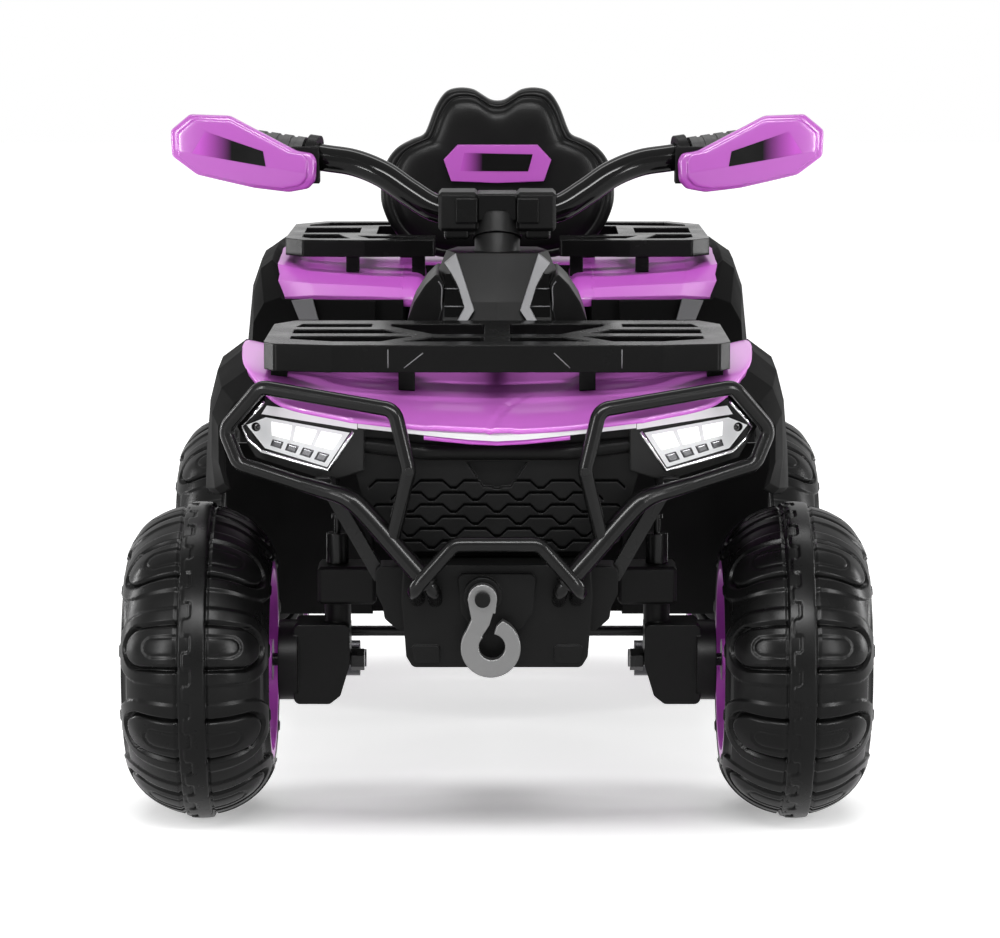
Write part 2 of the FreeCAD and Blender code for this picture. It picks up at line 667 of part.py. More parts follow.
# Skid plate with its shield and foot pads, the round winch boss and the pin that the hook hangs on
def bumper_skid():
    half_shares = [
        (0.0, 0.4094), (0.2414, 0.4094), (0.2471, 0.3607), (0.2357, 0.2816), (0.2186, 0.2664),
        (0.0, 0.2664)]
    ear_shares = [
        (0.0, 0.4033), (0.3157, 0.4033), (0.3143, 0.3653), (0.2971, 0.3463), (0.2929, 0.3303),
        (0.2571, 0.3135), (0.0, 0.3135)]
    shield_shares = [(0.0, 0.3988), (0.1029, 0.3988), (0.0914, 0.344), (0.06, 0.3204), (0.0, 0.3204)]
    pad_shares = [(0.1486, 0.2976), (0.2229, 0.2983), (0.2143, 0.2725), (0.1486, 0.2725)]
    y_shares = [-0.9219, -0.8229]
    ear_y_shares = [-0.8914, -0.8229]
    shield_y_shares = [-0.9333, -0.9143]
    pad_y_shares = [-0.9276, -0.9143]
    boss_shares = [-0.9486, -0.9295]
    head_shares = [-0.9867, -0.979]
    boss_r = 17.0
    head_r = 7.0
    x, z = HOOK_PIN_shares[0]
    axis = V(x * HALF_W, 0, z * HEIGHT)
    b0, b1 = [y * HALF_L for y in boss_shares]
    h0, h1 = [y * HALF_L for y in head_shares]
    pad = front_plate(pad_shares, pad_y_shares, EDGE_R / 2)
    return joined([front_plate(closed_half(half_shares), y_shares, EDGE_R),
                   front_plate(closed_half(ear_shares), ear_y_shares, EDGE_R),
                   front_plate(closed_half(shield_shares), shield_y_shares, EDGE_R),
                   pad, mirrored(pad),
                   rod(axis + Y * b0, axis + Y * b1, boss_r),
                   rod(axis + Y * h0, axis + Y * b1, HOOK_PIN_R),
                   rod(axis + Y * h0, axis + Y * h1, head_r)])


# Cast hook: eye on the pin, shank and open ring
def tow_hook():
    ring_shares = [(-0.0163, 0.3014)]
    eye_shares = [(-0.0129, 0.3029)]
    shank_shares = [
        (-0.0757, 0.3699), (0.0, 0.3699), (-0.0043, 0.3501), (-0.02, 0.3333), (-0.042, 0.3181),
        (-0.06, 0.3014), (-0.0914, 0.3105), (-0.0657, 0.3409)]
    mouth_shares = [
        (-0.0103, 0.3501), (0.0257, 0.3447), (-0.0009, 0.3318), (-0.0094, 0.3166), (-0.04, 0.3166),
        (-0.02, 0.3333)]
    ring_r = 27.0
    eye_r = 12.0
    head_r = 13.0
    back, front = [y * HALF_L for y in HOOK_Y_shares]
    cx, cz = ring_shares[0]
    ex, ez = eye_shares[0]
    px, pz = HOOK_PIN_shares[0]
    middle = V(cx * HALF_W, 0, cz * HEIGHT)
    eye = V(ex * HALF_W, 0, ez * HEIGHT)
    pin = V(px * HALF_W, 0, pz * HEIGHT)
    shape = joined([rod(middle + Y * front, middle + Y * back, ring_r),
                    rod(pin + Y * front, pin + Y * back, head_r),
                    front_plate(shank_shares, HOOK_Y_shares)])
    holes = [rod(eye + Y * (front - EDGE_R), eye + Y * (back + EDGE_R), eye_r),
             rod(pin + Y * (front - EDGE_R), pin + Y * (back + EDGE_R), HOOK_PIN_R + RUN),
             front_plate(mouth_shares, HOOK_Y_shares)]
    return shape.cut(holes)


# Posts under a rack, each from its own foot in the skin below
def rack_posts(foot_shares, top, size):
    posts = []
    for foot in at(foot_shares):
        posts.append(Part.makeBox(size, size, top - foot.z + EDGE_R, foot - V(size / 2, size / 2, 0)))
    return posts


def front_rack(cowl):
    half_shares = [
        (0.0, -0.861), (0.4286, -0.861), (0.58, -0.84), (0.6086, -0.8095), (0.6029, -0.5371),
        (0.5486, -0.48), (0.0, -0.48)]
    pocket_shares = [
        [(0.0343, -0.8076), (0.2514, -0.8076), (0.1714, -0.7352), (0.0343, -0.7352)],
        [(0.3029, -0.8076), (0.4286, -0.8076), (0.5429, -0.7695), (0.5429, -0.7238), (0.2171, -0.7238)],
        [(0.0343, -0.6971), (0.1657, -0.6971), (0.2857, -0.5752), (0.2857, -0.5333), (0.0343, -0.5333)],
        [(0.24, -0.6857), (0.5429, -0.6857), (0.5429, -0.621), (0.3029, -0.621)],
        [(0.3371, -0.5867), (0.5429, -0.5867), (0.5257, -0.5333), (0.3371, -0.5333)]]
    foot_shares = [
        (0.2371, -0.7695, 0.6355), (0.5714, -0.7695, 0.6545), (0.4286, -0.5067, 0.6553),
        (0.1771, -0.5067, 0.6484)]
    z_shares = [0.6712, 0.7093]
    post = 15.0
    plate = top_plate(closed_half(half_shares), z_shares, EDGE_R)
    pockets = [top_plate(p, z_shares, EDGE_R / 2) for p in pocket_shares]
    posts = rack_posts(foot_shares, z_shares[0] * HEIGHT, post)
    shape = plate.cut(pockets + [mirrored(p) for p in pockets])
    return trimmed(joined([shape] + posts + [mirrored(p) for p in posts]).cut(cowl))


# Cover of the steering column: a loft that narrows upwards, on a skirt down to the tub
def column_cover(cowl):
    level_shares = [0.6469, 0.6986, 0.7321] + [COVER_TOP_share]
    half_shares = [
        [(0.0, -0.4629), (0.16, -0.4514), (0.24, -0.2857), (0.2114, -0.1143), (0.0, -0.1048)],
        [(0.0, -0.459), (0.1514, -0.4495), (0.2171, -0.2952), (0.1943, -0.141), (0.0, -0.1257)],
        [(0.0, -0.4343), (0.1457, -0.4267), (0.1943, -0.3048), (0.1714, -0.1829), (0.0, -0.1714)],
        [(0.0, -0.3924), (0.1171, -0.3829), (0.14, -0.3314), (0.1114, -0.2629), (0.0, -0.2552)]]
    skirt_shares = [
        (0.0, -0.3543), (0.2629, -0.3543), (0.2743, -0.2857), (0.2114, -0.1143), (0.0, -0.1048)]
    skirt_z_shares = [0.6027, 0.6545]
    rows = []
    for z, half in zip(level_shares, half_shares):
        rows.append([V(x * HALF_W, y * HALF_L, z * HEIGHT) for x, y in closed_half(half)])
    skirt = top_plate(closed_half(skirt_shares), skirt_z_shares)
    cheek_shares = [
        (0.1629, 0.7747), (0.1971, 0.7565), (0.2286, 0.7306), (0.2457, 0.7062), (0.26, 0.6697),
        (0.2629, 0.6514), (0.1486, 0.6514), (0.1443, 0.6925), (0.1514, 0.723), (0.1457, 0.7565)]
    cheek_y_shares = [-0.4229, -0.2095]
    cheek = front_plate(cheek_shares, cheek_y_shares, EDGE_R / 2)
    collar_shares = [0.5023]
    collar_r = 22.0
    low = collar_shares[0] * HEIGHT
    collar = on_column(Part.makeCylinder(collar_r, CUP_LOW - GAP - low, Z * low))
    shape = joined([loft(rows), skirt, cheek, mirrored(cheek), collar])
    return trimmed(shape.cut([cowl, column_hole(BUSH_R)]))


# Silver strips on the cover's sloping front and at the front of the rear cowl
def silver_trim(cover, cowl):
    slope_shares = [(0.0, -0.399, 0.8006), (0.0, -0.4667, 0.6986)]
    strip_shares = [
        (0.1137, 0.8006), (0.1451, 0.7869), (0.1257, 0.7732), (0.1069, 0.7549), (0.0894, 0.7253),
        (0.1171, 0.6986), (0.0943, 0.6971), (0.0629, 0.7215)]
    strip_t = 12.0
    top, foot = at(slope_shares)
    points = []
    for x, z in strip_shares:
        down = (z * HEIGHT - top.z) / (foot.z - top.z)
        points.append(V(x * HALF_W, top.y + (foot.y - top.y) * down, z * HEIGHT))
    strip = prism(points, Y * strip_t).cut([cover, cowl])
    block_shares = [(0.5314, 0.6514), (0.5886, 0.6514), (0.6114, 0.6819), (0.5486, 0.6849)]
    y_shares = [0.1752, 0.1829]
    return Part.makeCompound([both(strip), both(front_plate(block_shares, y_shares))])


BUTTON_shares = [(0.08, -0.0533, 0.6058)]
BUTTON_R = 9.0
BUTTON_TOP_shares = [0.6119, 0.6484]
SWITCH_shares = [(-0.08, -0.0533, 0.6256)]
SWITCH_R = 10.0
SWITCH_L = 22.0
CONTROL_GAP = 0.4


# Dash behind the column with the wells of the power button and the direction switch
def dash_panel():
    side_shares = [(-0.099, 0.6027), (-0.0076, 0.6027), (-0.0076, 0.621), (-0.0952, 0.6545)]
    x_shares = [-0.1714, 0.1714]
    well_z = BUTTON_TOP_shares[0] * HEIGHT - 2 * MOVE_GAP
    button = at(BUTTON_shares)[0]
    switch = at(SWITCH_shares)[0]
    half = SWITCH_L / 2 + CONTROL_GAP
    wells = [Part.makeCylinder(BUTTON_R + CONTROL_GAP, HEIGHT, V(button.x, button.y, well_z)),
             rod(switch - X * half, switch + X * half, SWITCH_R + CONTROL_GAP),
             Part.makeBox(half * 2, SWITCH_R * 2, HEIGHT, switch - V(half, SWITCH_R, 0))]
    return side_plate(side_shares, x_shares).cut(wells)


def power_button():
    low, high = [z * HEIGHT for z in BUTTON_TOP_shares]
    button = at(BUTTON_shares)[0]
    shape = Part.makeCylinder(BUTTON_R, high - low, V(button.x, button.y, low))
    return shape.makeFillet(MOVE_GAP, [shape.Edges[0]])


# Rocker with a paddle
def direction_switch():
    switch = at(SWITCH_shares)[0]
    paddle_t = 6.0
    paddle_h = 20.0
    barrel = rod(switch - X * SWITCH_L / 2, switch + X * SWITCH_L / 2, SWITCH_R)
    paddle = Part.makeBox(SWITCH_L, paddle_t, paddle_h, switch - V(SWITCH_L / 2, paddle_t / 2, 0))
    return joined([barrel, paddle])


# Tub: spine over the front beam, wide middle, rear box and the carrier of the rear axle
def chassis_tub(cowl, rear, axle):
    spine_shares = [
        (-0.8229, 0.3988), (-0.6571, 0.3988), (-0.6571, 0.3699), (-0.4762, 0.3699),
        (-0.2857, 0.2435), (0.3429, 0.2314), (0.4571, 0.3272), (0.7524, 0.3272), (0.8381, 0.3805),
        (0.8952, 0.5023), (0.8667, 0.6027), (-0.3619, 0.6027), (-0.381, 0.6454), (-0.4571, 0.6469),
        (-0.6286, 0.6408), (-0.781, 0.6286), (-0.8229, 0.6164)]
    spine_x_shares = [-0.2171, 0.2171]
    middle_shares = [
        [
            (0.3571, -0.1905, 0.2374), (0.3571, 0.3619, 0.2374), (-0.3571, 0.3619, 0.2374),
            (-0.3571, -0.1905, 0.2374)],
        [
            (0.3486, -0.2133, 0.4566), (0.3486, 0.3619, 0.4566), (-0.3486, 0.3619, 0.4566),
            (-0.3486, -0.2133, 0.4566)],
        [
            (0.2857, -0.1181, 0.6027), (0.2971, 0.3619, 0.6027), (-0.2971, 0.3619, 0.6027),
            (-0.2857, -0.1181, 0.6027)]]
    rear_shares = [
        (0.3619, 0.4718), (0.1981, 0.5023), (0.1981, 0.6804), (0.2381, 0.6925), (0.3048, 0.7047),
        (0.5714, 0.7108), (0.8762, 0.7047), (0.9524, 0.6758), (0.9676, 0.5023), (0.8762, 0.4642)]
    rear_x_shares = [-0.5371, 0.5371]
    carrier_shares = [(-0.4286, 0.5524, 0.1948), (0.4286, 0.6667, 0.3288)]
    seat_well_shares = [(-0.28, 0.1905, 0.6027), (0.28, 0.5333, 0.761)]
    middle_hollow_shares = [(-0.2686, -0.1067, 0.1522), (0.2686, 0.3467, 0.5906)]
    front_hollow_shares = [(-0.1886, -0.381, 0.1522), (0.1886, -0.1714, 0.5906)]
    rear_hollow_shares = [(0.2171, 0.381, 0.3044), (0.5143, 0.9486, 0.6667)]
    pieces = [side_plate(spine_shares, spine_x_shares), loft([at(row) for row in middle_shares]),
              side_plate(rear_shares, rear_x_shares), block(carrier_shares)]
    side_hollow = block(rear_hollow_shares)
    hollows = [block(middle_hollow_shares), block(front_hollow_shares), side_hollow, mirrored(side_hollow)]
    pieces = [joined(pieces[:3]).cut(hollows), pieces[3]]
    holes = [column_hole(BUSH_R + MOVE_GAP), block(seat_well_shares), cowl, rear, axle]
    return joined(pieces).cut(holes)


# Left footboard: floor with a wall up to each flare and grip ribs
def footboard():
    strip_shares = [(-0.2438, 0.5023), (-0.179, 0.2314), (0.32, 0.2314), (0.1981, 0.5023)]
    inner_shares = [(-0.2362, 0.5175), (-0.1676, 0.2466), (0.301, 0.2466), (0.1829, 0.5175)]
    x_shares = [0.3571, 0.7714]
    rib_x_shares = [0.4, 0.7371]
    rib_y_shares = [-0.1143, -0.0571, 0.0, 0.0571, 0.1143, 0.1714, 0.2286]
    floor_shares = [0.2451, 0.2511]
    rib_w = 8.0
    x0, x1 = [x * HALF_W for x in rib_x_shares]
    z0, z1 = [z * HEIGHT for z in floor_shares]
    shell = side_plate(strip_shares, x_shares).cut(side_plate(inner_shares, x_shares))
    ribs = [Part.makeBox(x1 - x0, rib_w, z1 - z0, V(x0, y * HALF_L, z0)) for y in rib_y_shares]
    return joined([shell] + ribs)


PEDAL_shares = [(-0.5857, 0.019, 0.2679)]
PEDAL_R = 5.5
PEDAL_PIN_R = 3.0
PEDAL_W = 46.0


# Pedal bracket on the right footboard: two lugs with a pin
def pedal_bracket():
    pivot = at(PEDAL_shares)[0]
    lug_t = 5.0
    floor_shares = [0.2435]
    floor = floor_shares[0] * HEIGHT
    half = PEDAL_W / 2 + GAP
    pieces = [rod(pivot - X * (half + lug_t), pivot + X * (half + lug_t), PEDAL_PIN_R)]
    for x in (-half - lug_t, half):
        corner = V(pivot.x + x, pivot.y - PEDAL_R, floor)
        pieces.append(Part.makeBox(lug_t, PEDAL_R * 2, pivot.z - floor + PEDAL_R, corner))
    return pieces


def throttle_pedal():
    pivot = at(PEDAL_shares)[0]
    plate_shares = [
        (0.019, 0.2597), (0.0152, 0.2761), (-0.1333, 0.309), (-0.1448, 0.3029), (-0.141, 0.2968)]
    low = pivot.x - PEDAL_W / 2
    points = [V(low, y * HALF_L, z * HEIGHT) for y, z in plate_shares]
    barrel = rod(pivot - X * PEDAL_W / 2, pivot + X * PEDAL_W / 2, PEDAL_R)
    bore = rod(pivot - X * PEDAL_W, pivot + X * PEDAL_W, PEDAL_PIN_R + RUN)
    return joined([barrel, prism(points, X * PEDAL_W)]).cut(bore)


# Seat cushion: crowned sections with drawn-in sides and two stitched channels
def seat():
    station_shares = [0.0019, 0.0267, 0.1333, 0.2667, 0.4, 0.499, 0.5276]
    width_shares = [0.1771, 0.2114, 0.24, 0.2571, 0.2686, 0.2686, 0.2514]
    crown_shares = [0.0335, 0.0578, 0.067, 0.07, 0.0731, 0.0822, 0.07]
    section_shares = [(0.90, 0.0), (1.0, 0.30), (0.97, 0.62), (0.84, 0.86), (0.5, 0.97), (0.0, 1.0)]
    base_shares = [0.6032]
    channel_shares = [0.1486, 0.32]
    channel_r = 3.5
    rows = []
    for y, w, h in zip(station_shares, width_shares, crown_shares):
        half = [(a * w * HALF_W, (base_shares[0] + b * h) * HEIGHT) for a, b in section_shares]
        line = half + [(-x, z) for x, z in reversed(half) if x > 0]
        rows.append([V(x, y * HALF_L, z) for x, z in line])
    cushion = loft(rows)
    for y in channel_shares:
        path_shares = [
            (-0.2743, 0.6514), (-0.2286, 0.6651), (-0.1257, 0.6735), (0.1257, 0.6735),
            (0.2286, 0.6651), (0.2743, 0.6514)]
        path = [V(x * HALF_W, y * HALF_L, z * HEIGHT) for x, z in path_shares]
        cushion = cushion.cut(tube(path, channel_r, channel_r * 3))
    return cushion


BACK_shares = [
    (0.0, 0.9802), (0.0343, 0.9848), (0.0771, 0.9977), (0.1029, 1.0), (0.1486, 1.0),
    (0.1771, 0.9924), (0.2, 0.9711), (0.2229, 0.9376), (0.2629, 0.9178), (0.3257, 0.8935),
    (0.3657, 0.8569), (0.3743, 0.8311), (0.3714, 0.8037), (0.3429, 0.7793), (0.28, 0.7565),
    (0.1771, 0.7443), (0.0, 0.7382)]


# Backrest: pad with drawn-in edges on a post into the rear box
def backrest():
    station_shares = [0.541, 0.5524, 0.5714, 0.6057, 0.621]
    scale_shares = [0.88, 0.96, 1.0, 1.0, 0.93]
    middle_shares = [0.8615]
    post_shares = [(-0.1371, 0.5638, 0.7032), (0.1371, 0.6095, 0.761)]
    mid = middle_shares[0]
    rows = []
    for y, k in zip(station_shares, scale_shares):
        line = [(x * k * HALF_W, (mid + (z - mid) * k) * HEIGHT) for x, z in closed_half(BACK_shares)]
        rows.append([V(x, y * HALF_L, z) for x, z in line])
    return joined([loft(rows), block(post_shares)])


def backrest_badge(back):
    half_shares = [(0.0, 0.9087), (0.1229, 0.9087), (0.1657, 0.8843), (0.1429, 0.8493), (0.0, 0.8463)]
    y_shares = [0.5257, 0.5486]
    return front_plate(closed_half(half_shares), y_shares).cut(back)


def rear_cowl(back):
    station_shares = [0.2019, 0.2362, 0.3048, 0.5714, 0.8762, 0.9676]
    side_shares = [
        [(0.2829, 0.6849), (0.3714, 0.6865), (0.5429, 0.688), (0.6457, 0.6849)],
        [(0.2829, 0.6971), (0.3714, 0.7002), (0.5571, 0.7047), (0.6571, 0.7093)],
        [(0.2829, 0.7093), (0.3714, 0.7108), (0.5714, 0.7184), (0.6743, 0.7321)],
        [(0.2829, 0.7154), (0.3714, 0.7169), (0.5714, 0.7245), (0.6771, 0.7367)],
        [(0.2829, 0.7093), (0.3714, 0.7108), (0.5571, 0.7154), (0.6629, 0.7275)],
        [(0.2829, 0.6788), (0.3714, 0.6788), (0.5429, 0.6804), (0.6457, 0.688)]]
    bridge_y_shares = [0.5371, 0.5714, 0.8762, 0.9676]
    bridge_shares = [
        [(0.0, 0.7146), (0.2857, 0.7146)],
        [(0.0, 0.7154), (0.2857, 0.7154)],
        [(0.0, 0.7093), (0.2857, 0.7093)],
        [(0.0, 0.6788), (0.2857, 0.6788)]]
    side = panel(side_rows(station_shares, side_shares), Z * -PANEL_T)
    bridge = panel(full_rows(zip(bridge_y_shares, bridge_shares)), Z * -PANEL_T)
    return joined([side, mirrored(side), bridge]).cut(back)


# Left rear flare with its front wall down to the footboard
def rear_fender(cowl):
    station_shares = [0.1848, 0.2857, 0.4381, 0.6095, 0.8095, 0.9714]
    line_shares = [
        [(0.6457, 0.6865), (0.6943, 0.6773), (0.7257, 0.6469), (0.7343, 0.5784), (0.7343, 0.5053)],
        [(0.6771, 0.7382), (0.7114, 0.7245), (0.7343, 0.6849), (0.7514, 0.5936), (0.7571, 0.4932)],
        [(0.68, 0.7428), (0.72, 0.7291), (0.7486, 0.6849), (0.7657, 0.5936), (0.7743, 0.4962)],
        [(0.68, 0.7428), (0.7229, 0.7291), (0.7543, 0.6849), (0.7771, 0.5936), (0.7857, 0.4932)],
        [(0.6743, 0.7382), (0.7143, 0.723), (0.7457, 0.6819), (0.7686, 0.5936), (0.78, 0.4962)],
        [(0.6514, 0.6925), (0.6914, 0.6788), (0.72, 0.6393), (0.7429, 0.5784), (0.7543, 0.5099)]]
    wall_shares = [
        (0.3629, 0.5175), (0.7229, 0.5084), (0.7229, 0.6088), (0.7143, 0.6469), (0.6857, 0.6758),
        (0.6457, 0.6834), (0.3629, 0.6804)]
    wall_y_shares = [0.1848, 0.1973]
    skin = panel(side_rows(station_shares, line_shares), V(-PANEL_T, 0, -PANEL_T))
    return joined([skin, front_plate(wall_shares, wall_y_shares)]).cut(cowl)


def rear_panel(others):
    half_shares = [
        (0.0, 0.6728), (0.5429, 0.6743), (0.6457, 0.6788), (0.7114, 0.6332), (0.7314, 0.5784),
        (0.74, 0.5175), (0.5257, 0.5084), (0.0, 0.5084)]
    y_shares = [0.96, 0.9829]
    return front_plate(closed_half(half_shares), y_shares, EDGE_R).cut(others)


def tail_lights():
    lamp_shares = [
        (0.3714, 0.6514), (0.6229, 0.6606), (0.6743, 0.6271), (0.5886, 0.6058), (0.3943, 0.6119)]
    y_shares = [0.9829, 1.0]
    return both(front_plate(lamp_shares, y_shares, EDGE_R))


def rear_rack(cowl, back):
    half_shares = [
        (0.1886, 0.3352), (0.4, 0.3238), (0.5886, 0.3314), (0.6429, 0.3733), (0.6343, 0.6895),
        (0.5429, 0.7581), (0.0, 0.7657), (0.0, 0.6514), (0.3714, 0.6438), (0.3714, 0.4571),
        (0.1886, 0.4305)]
    pocket_shares = [
        [(0.2457, 0.3657), (0.3886, 0.3581), (0.4286, 0.4229), (0.24, 0.4076)],
        [(0.4457, 0.3581), (0.5657, 0.3619), (0.5943, 0.3886), (0.5943, 0.4571), (0.4857, 0.4571)],
        [(0.4229, 0.4876), (0.5943, 0.4876), (0.5943, 0.6057), (0.4229, 0.6057)],
        [(0.1714, 0.6781), (0.5886, 0.64), (0.5886, 0.6781), (0.5257, 0.7276), (0.1714, 0.7352)]]
    foot_shares = [
        (0.4371, 0.3429, 0.7154), (0.24, 0.3924, 0.7047), (0.56, 0.6286, 0.7169),
        (0.2857, 0.659, 0.7062), (0.1143, 0.7086, 0.7062)]
    z_shares = [0.7397, 0.7671]
    post = 14.0
    plate = top_plate(half_shares, z_shares, EDGE_R / 2).cut([top_plate(p, z_shares) for p in pocket_shares])
    posts = rack_posts(foot_shares, z_shares[0] * HEIGHT, post)
    half = joined([plate] + posts)
    return trimmed(joined([half, mirrored(half)]).cut([cowl, back]))


# Rear axle rod with a nut at each end
def rear_axle():
    end = TRACK_HALF + AXLE_END
    pieces = [rod(V(-end, AXLE_Y, AXLE_Z), V(end, AXLE_Y, AXLE_Z), AXLE_R)]
    face = TRACK_HALF + TYRE_W / 2 * NUT_share
    for x in (face, -face - NUT_T):
        nut = hexagon(NUT_R, NUT_T, x)
        nut.translate(V(0, AXLE_Y, AXLE_Z))
        pieces.append(nut)
    return joined(pieces)


def rear_gearbox(axle):
    x_shares = [0.4289, 0.59]
    waist_shares = [(0.6095, 0.2861), (0.499, 0.2496), (0.499, 0.1766), (0.6095, 0.1705)]
    case_r = 38.0
    motor_r = 24.0
    x0, x1 = [x * HALF_W for x in x_shares]
    return joined([rod(V(x0, AXLE_Y, AXLE_Z), V(x1, AXLE_Y, AXLE_Z), case_r),
                   rod(V(x0, -MOTOR_AT.y, MOTOR_AT.z), V(x1, -MOTOR_AT.y, MOTOR_AT.z), motor_r),
                   side_plate(waist_shares, x_shares)]).cut(axle)


def rear_motor():
    x_shares = [0.2514, 0.2686, 0.4286]
    tail, back, face = [x * HALF_W for x in x_shares]
    ends = [V(x, -MOTOR_AT.y, MOTOR_AT.z) for x in (tail, back, face)]
    return joined([rod(ends[1], ends[2], MOTOR_R), rod(ends[0], ends[1], MOTOR_R / 2)])


# Cross screws on the skid and the rear panel
def body_screws(bull):
    bar_shares = [(0.2257, 0.5464)]
    bar_y_shares = [-0.9676]
    rear_shares = [(0.3143, 0.6393), (0.3143, 0.5358)]
    rear_y_shares = [0.9829]
    bar_head_r = 3.6
    bar_head_t = 6.0
    head_r = 5.0
    head_t = 2.5
    screws = []
    for x, z in bar_shares:
        place = V(x * HALF_W, bar_y_shares[0] * HALF_L, z * HEIGHT)
        screws.append(Part.makeCylinder(bar_head_r, bar_head_t, place, -Y).cut(bull))
    for x, z in rear_shares:
        place = V(x * HALF_W, rear_y_shares[0] * HALF_L, z * HEIGHT)
        screws.append(Part.makeCylinder(head_r, head_t, place, Y))
    return Part.makeCompound(screws + [mirrored(s) for s in screws])


# Every node by name; left is the rider's left, at +X
def build():
    nodes = {}
    bar = handlebar()
    shaft = steering_shaft()
    cowl = front_cowl()
    axle = rear_axle()
    back = backrest()
    rear = rear_cowl(back)
    skid = bumper_skid()
    fascia = front_fascia().cut(cowl)
    cover = column_cover(cowl)
    tub = chassis_tub(cowl, rear, axle).cut([back, fascia, skid])
    nodes["chassis_tub"] = tub
    nodes["front_axle_beam"] = front_axle_beam()
    nodes["front_cowl"] = cowl
    nodes["front_fascia"] = fascia
    nodes["headlight_lenses"] = headlight_lenses()
    nodes["light_bar"] = light_bar(cowl, fascia)
    nodes["bumper_skid"] = skid
    bull = bull_bar(skid, fascia)
    nodes["bull_bar"] = bull
    nodes["bull_bar_braces"] = bull_bar_braces([skid, fascia, tub, bull])
    nodes["front_rack"] = front_rack(cowl)
    nodes["column_cover"] = cover
    nodes["silver_trim"] = silver_trim(cover, cowl)
    nodes["dash_panel"] = dash_panel()
    nodes["seat"] = seat()
    nodes["backrest"] = back
    nodes["backrest_badge"] = backrest_badge(back)
    nodes["rear_cowl"] = rear
    nodes["rear_rack"] = rear_rack(rear, back)
    nodes["tail_lights"] = tail_lights()
    nodes["rear_axle"] = axle
    nodes["body_screws"] = body_screws(bull)
    nodes["column_bushes"] = column_bushes()
    nodes["tow_hook"] = tow_hook()
    nodes["throttle_pedal"] = throttle_pedal()
    nodes["power_button"] = power_button()
    nodes["direction_switch"] = direction_switch()
    nodes["steering_shaft"] = shaft
    nodes["handlebar"] = bar
    nodes["handlebar_clamp"] = handlebar_clamp(bar, shaft)
    nodes["tie_rod"] = tie_rod()
    front = front_fender(cowl)
    behind = rear_fender(rear).cut(tub)
    board = footboard().cut([front, behind])
    pins = knuckle_pins()
    nodes["front_fenders"] = both(front)
    nodes["rear_fenders"] = both(behind)
    nodes["grips"] = both(grip(bar))
    nodes["guard_clamps"] = both(guard_clamp(bar))
    sides = {"footboard": board, "hand_guard": hand_guard(), "knuckle_pins": pins,
             "front_gearbox": front_gearbox(pins), "front_motor": front_motor()}
    for name, shape in sides.items():
        nodes[name + "_left"] = shape
        nodes[name + "_right"] = mirrored(shape)
    nodes["footboard_right"] = joined([nodes["footboard_right"]] + pedal_bracket())
    nodes["rear_panel"] = rear_panel([tub, rear, behind, mirrored(behind)])
    nodes["rear_gearboxes"] = both(rear_gearbox(axle))
    nodes["rear_motors"] = both(rear_motor())
    rubber = tyre()
    wheel = rim()
    cap = hub_cap()
    for end_name, end in (("front", -1), ("rear", 1)):
        for side_name, side in (("left", 1), ("right", -1)):
            name = end_name + "_" + side_name
            nodes["tyre_" + name] = wheel_place(rubber, side, end)
            nodes["rim_" + name] = wheel_place(wheel if side > 0 else mirrored(wheel), side, end)
            nodes["hub_cap_" + name] = wheel_place(cap if side > 0 else mirrored(cap), side, end)
    return nodes


os.makedirs("parts", exist_ok=True)
for name, shape in build().items():
    shape.exportStep("parts/" + name + ".step")
    print(name, shape.isValid(), len(shape.Solids), round(shape.Volume))
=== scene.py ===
# %% [markdown]
# # A children's quad bike in a studio
#
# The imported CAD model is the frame: every solid already sits where it belongs, in metres, with the front
# facing -Y and Z up. This file dresses that frame. It sets the camera, floor and lamps first, then the
# finishes, and then rebuilds the pieces whose forms need finer surfaces than the solids have: tyres, hood,
# lamps, seat, backrest, handlebar and guards. Each new piece rides on a body, so the joints keep working.

import json
import math

import bmesh
import bpy
import numpy as np
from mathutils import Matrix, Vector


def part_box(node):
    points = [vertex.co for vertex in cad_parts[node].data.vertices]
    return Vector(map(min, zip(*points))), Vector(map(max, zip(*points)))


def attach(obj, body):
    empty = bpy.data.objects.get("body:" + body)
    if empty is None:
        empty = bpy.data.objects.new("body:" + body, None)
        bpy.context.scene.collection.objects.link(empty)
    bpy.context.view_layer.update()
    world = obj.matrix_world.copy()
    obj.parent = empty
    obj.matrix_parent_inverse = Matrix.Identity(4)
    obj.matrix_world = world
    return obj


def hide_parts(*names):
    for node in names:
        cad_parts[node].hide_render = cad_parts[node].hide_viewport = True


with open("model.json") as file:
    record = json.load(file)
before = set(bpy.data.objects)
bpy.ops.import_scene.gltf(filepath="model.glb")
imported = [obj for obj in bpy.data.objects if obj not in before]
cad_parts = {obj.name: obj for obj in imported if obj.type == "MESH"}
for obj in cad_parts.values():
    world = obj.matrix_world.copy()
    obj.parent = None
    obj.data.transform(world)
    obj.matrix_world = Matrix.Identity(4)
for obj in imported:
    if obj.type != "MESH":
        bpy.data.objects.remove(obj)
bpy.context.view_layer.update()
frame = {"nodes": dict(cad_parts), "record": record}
nodes = frame["nodes"]
slot_of = {part["node"]: part["material_slot"] for part in frame["record"]["subparts"]}

# %% [markdown]
# ## Camera, floor and light
#
# The photo was taken from straight ahead with a long lens: the rear tyres look only a little smaller than
# the front ones. Comparing those widths gives a camera about four metres in front of the quad, just under a
# metre up and tilted down by eight degrees. A long lens is a narrow angle of view, set here through the focal
# length on a 36 mm sensor.

# %% Camera
CAMERA_PLACE = (0.0027, -4.12, 0.90)
CAMERA_TILT = math.radians(90 - 8.49)
PHOTO_WIDTH = 1000
FOCAL_PIXELS = 4074
SENSOR_MM = 36.0
VIEW_DEPTH = 60

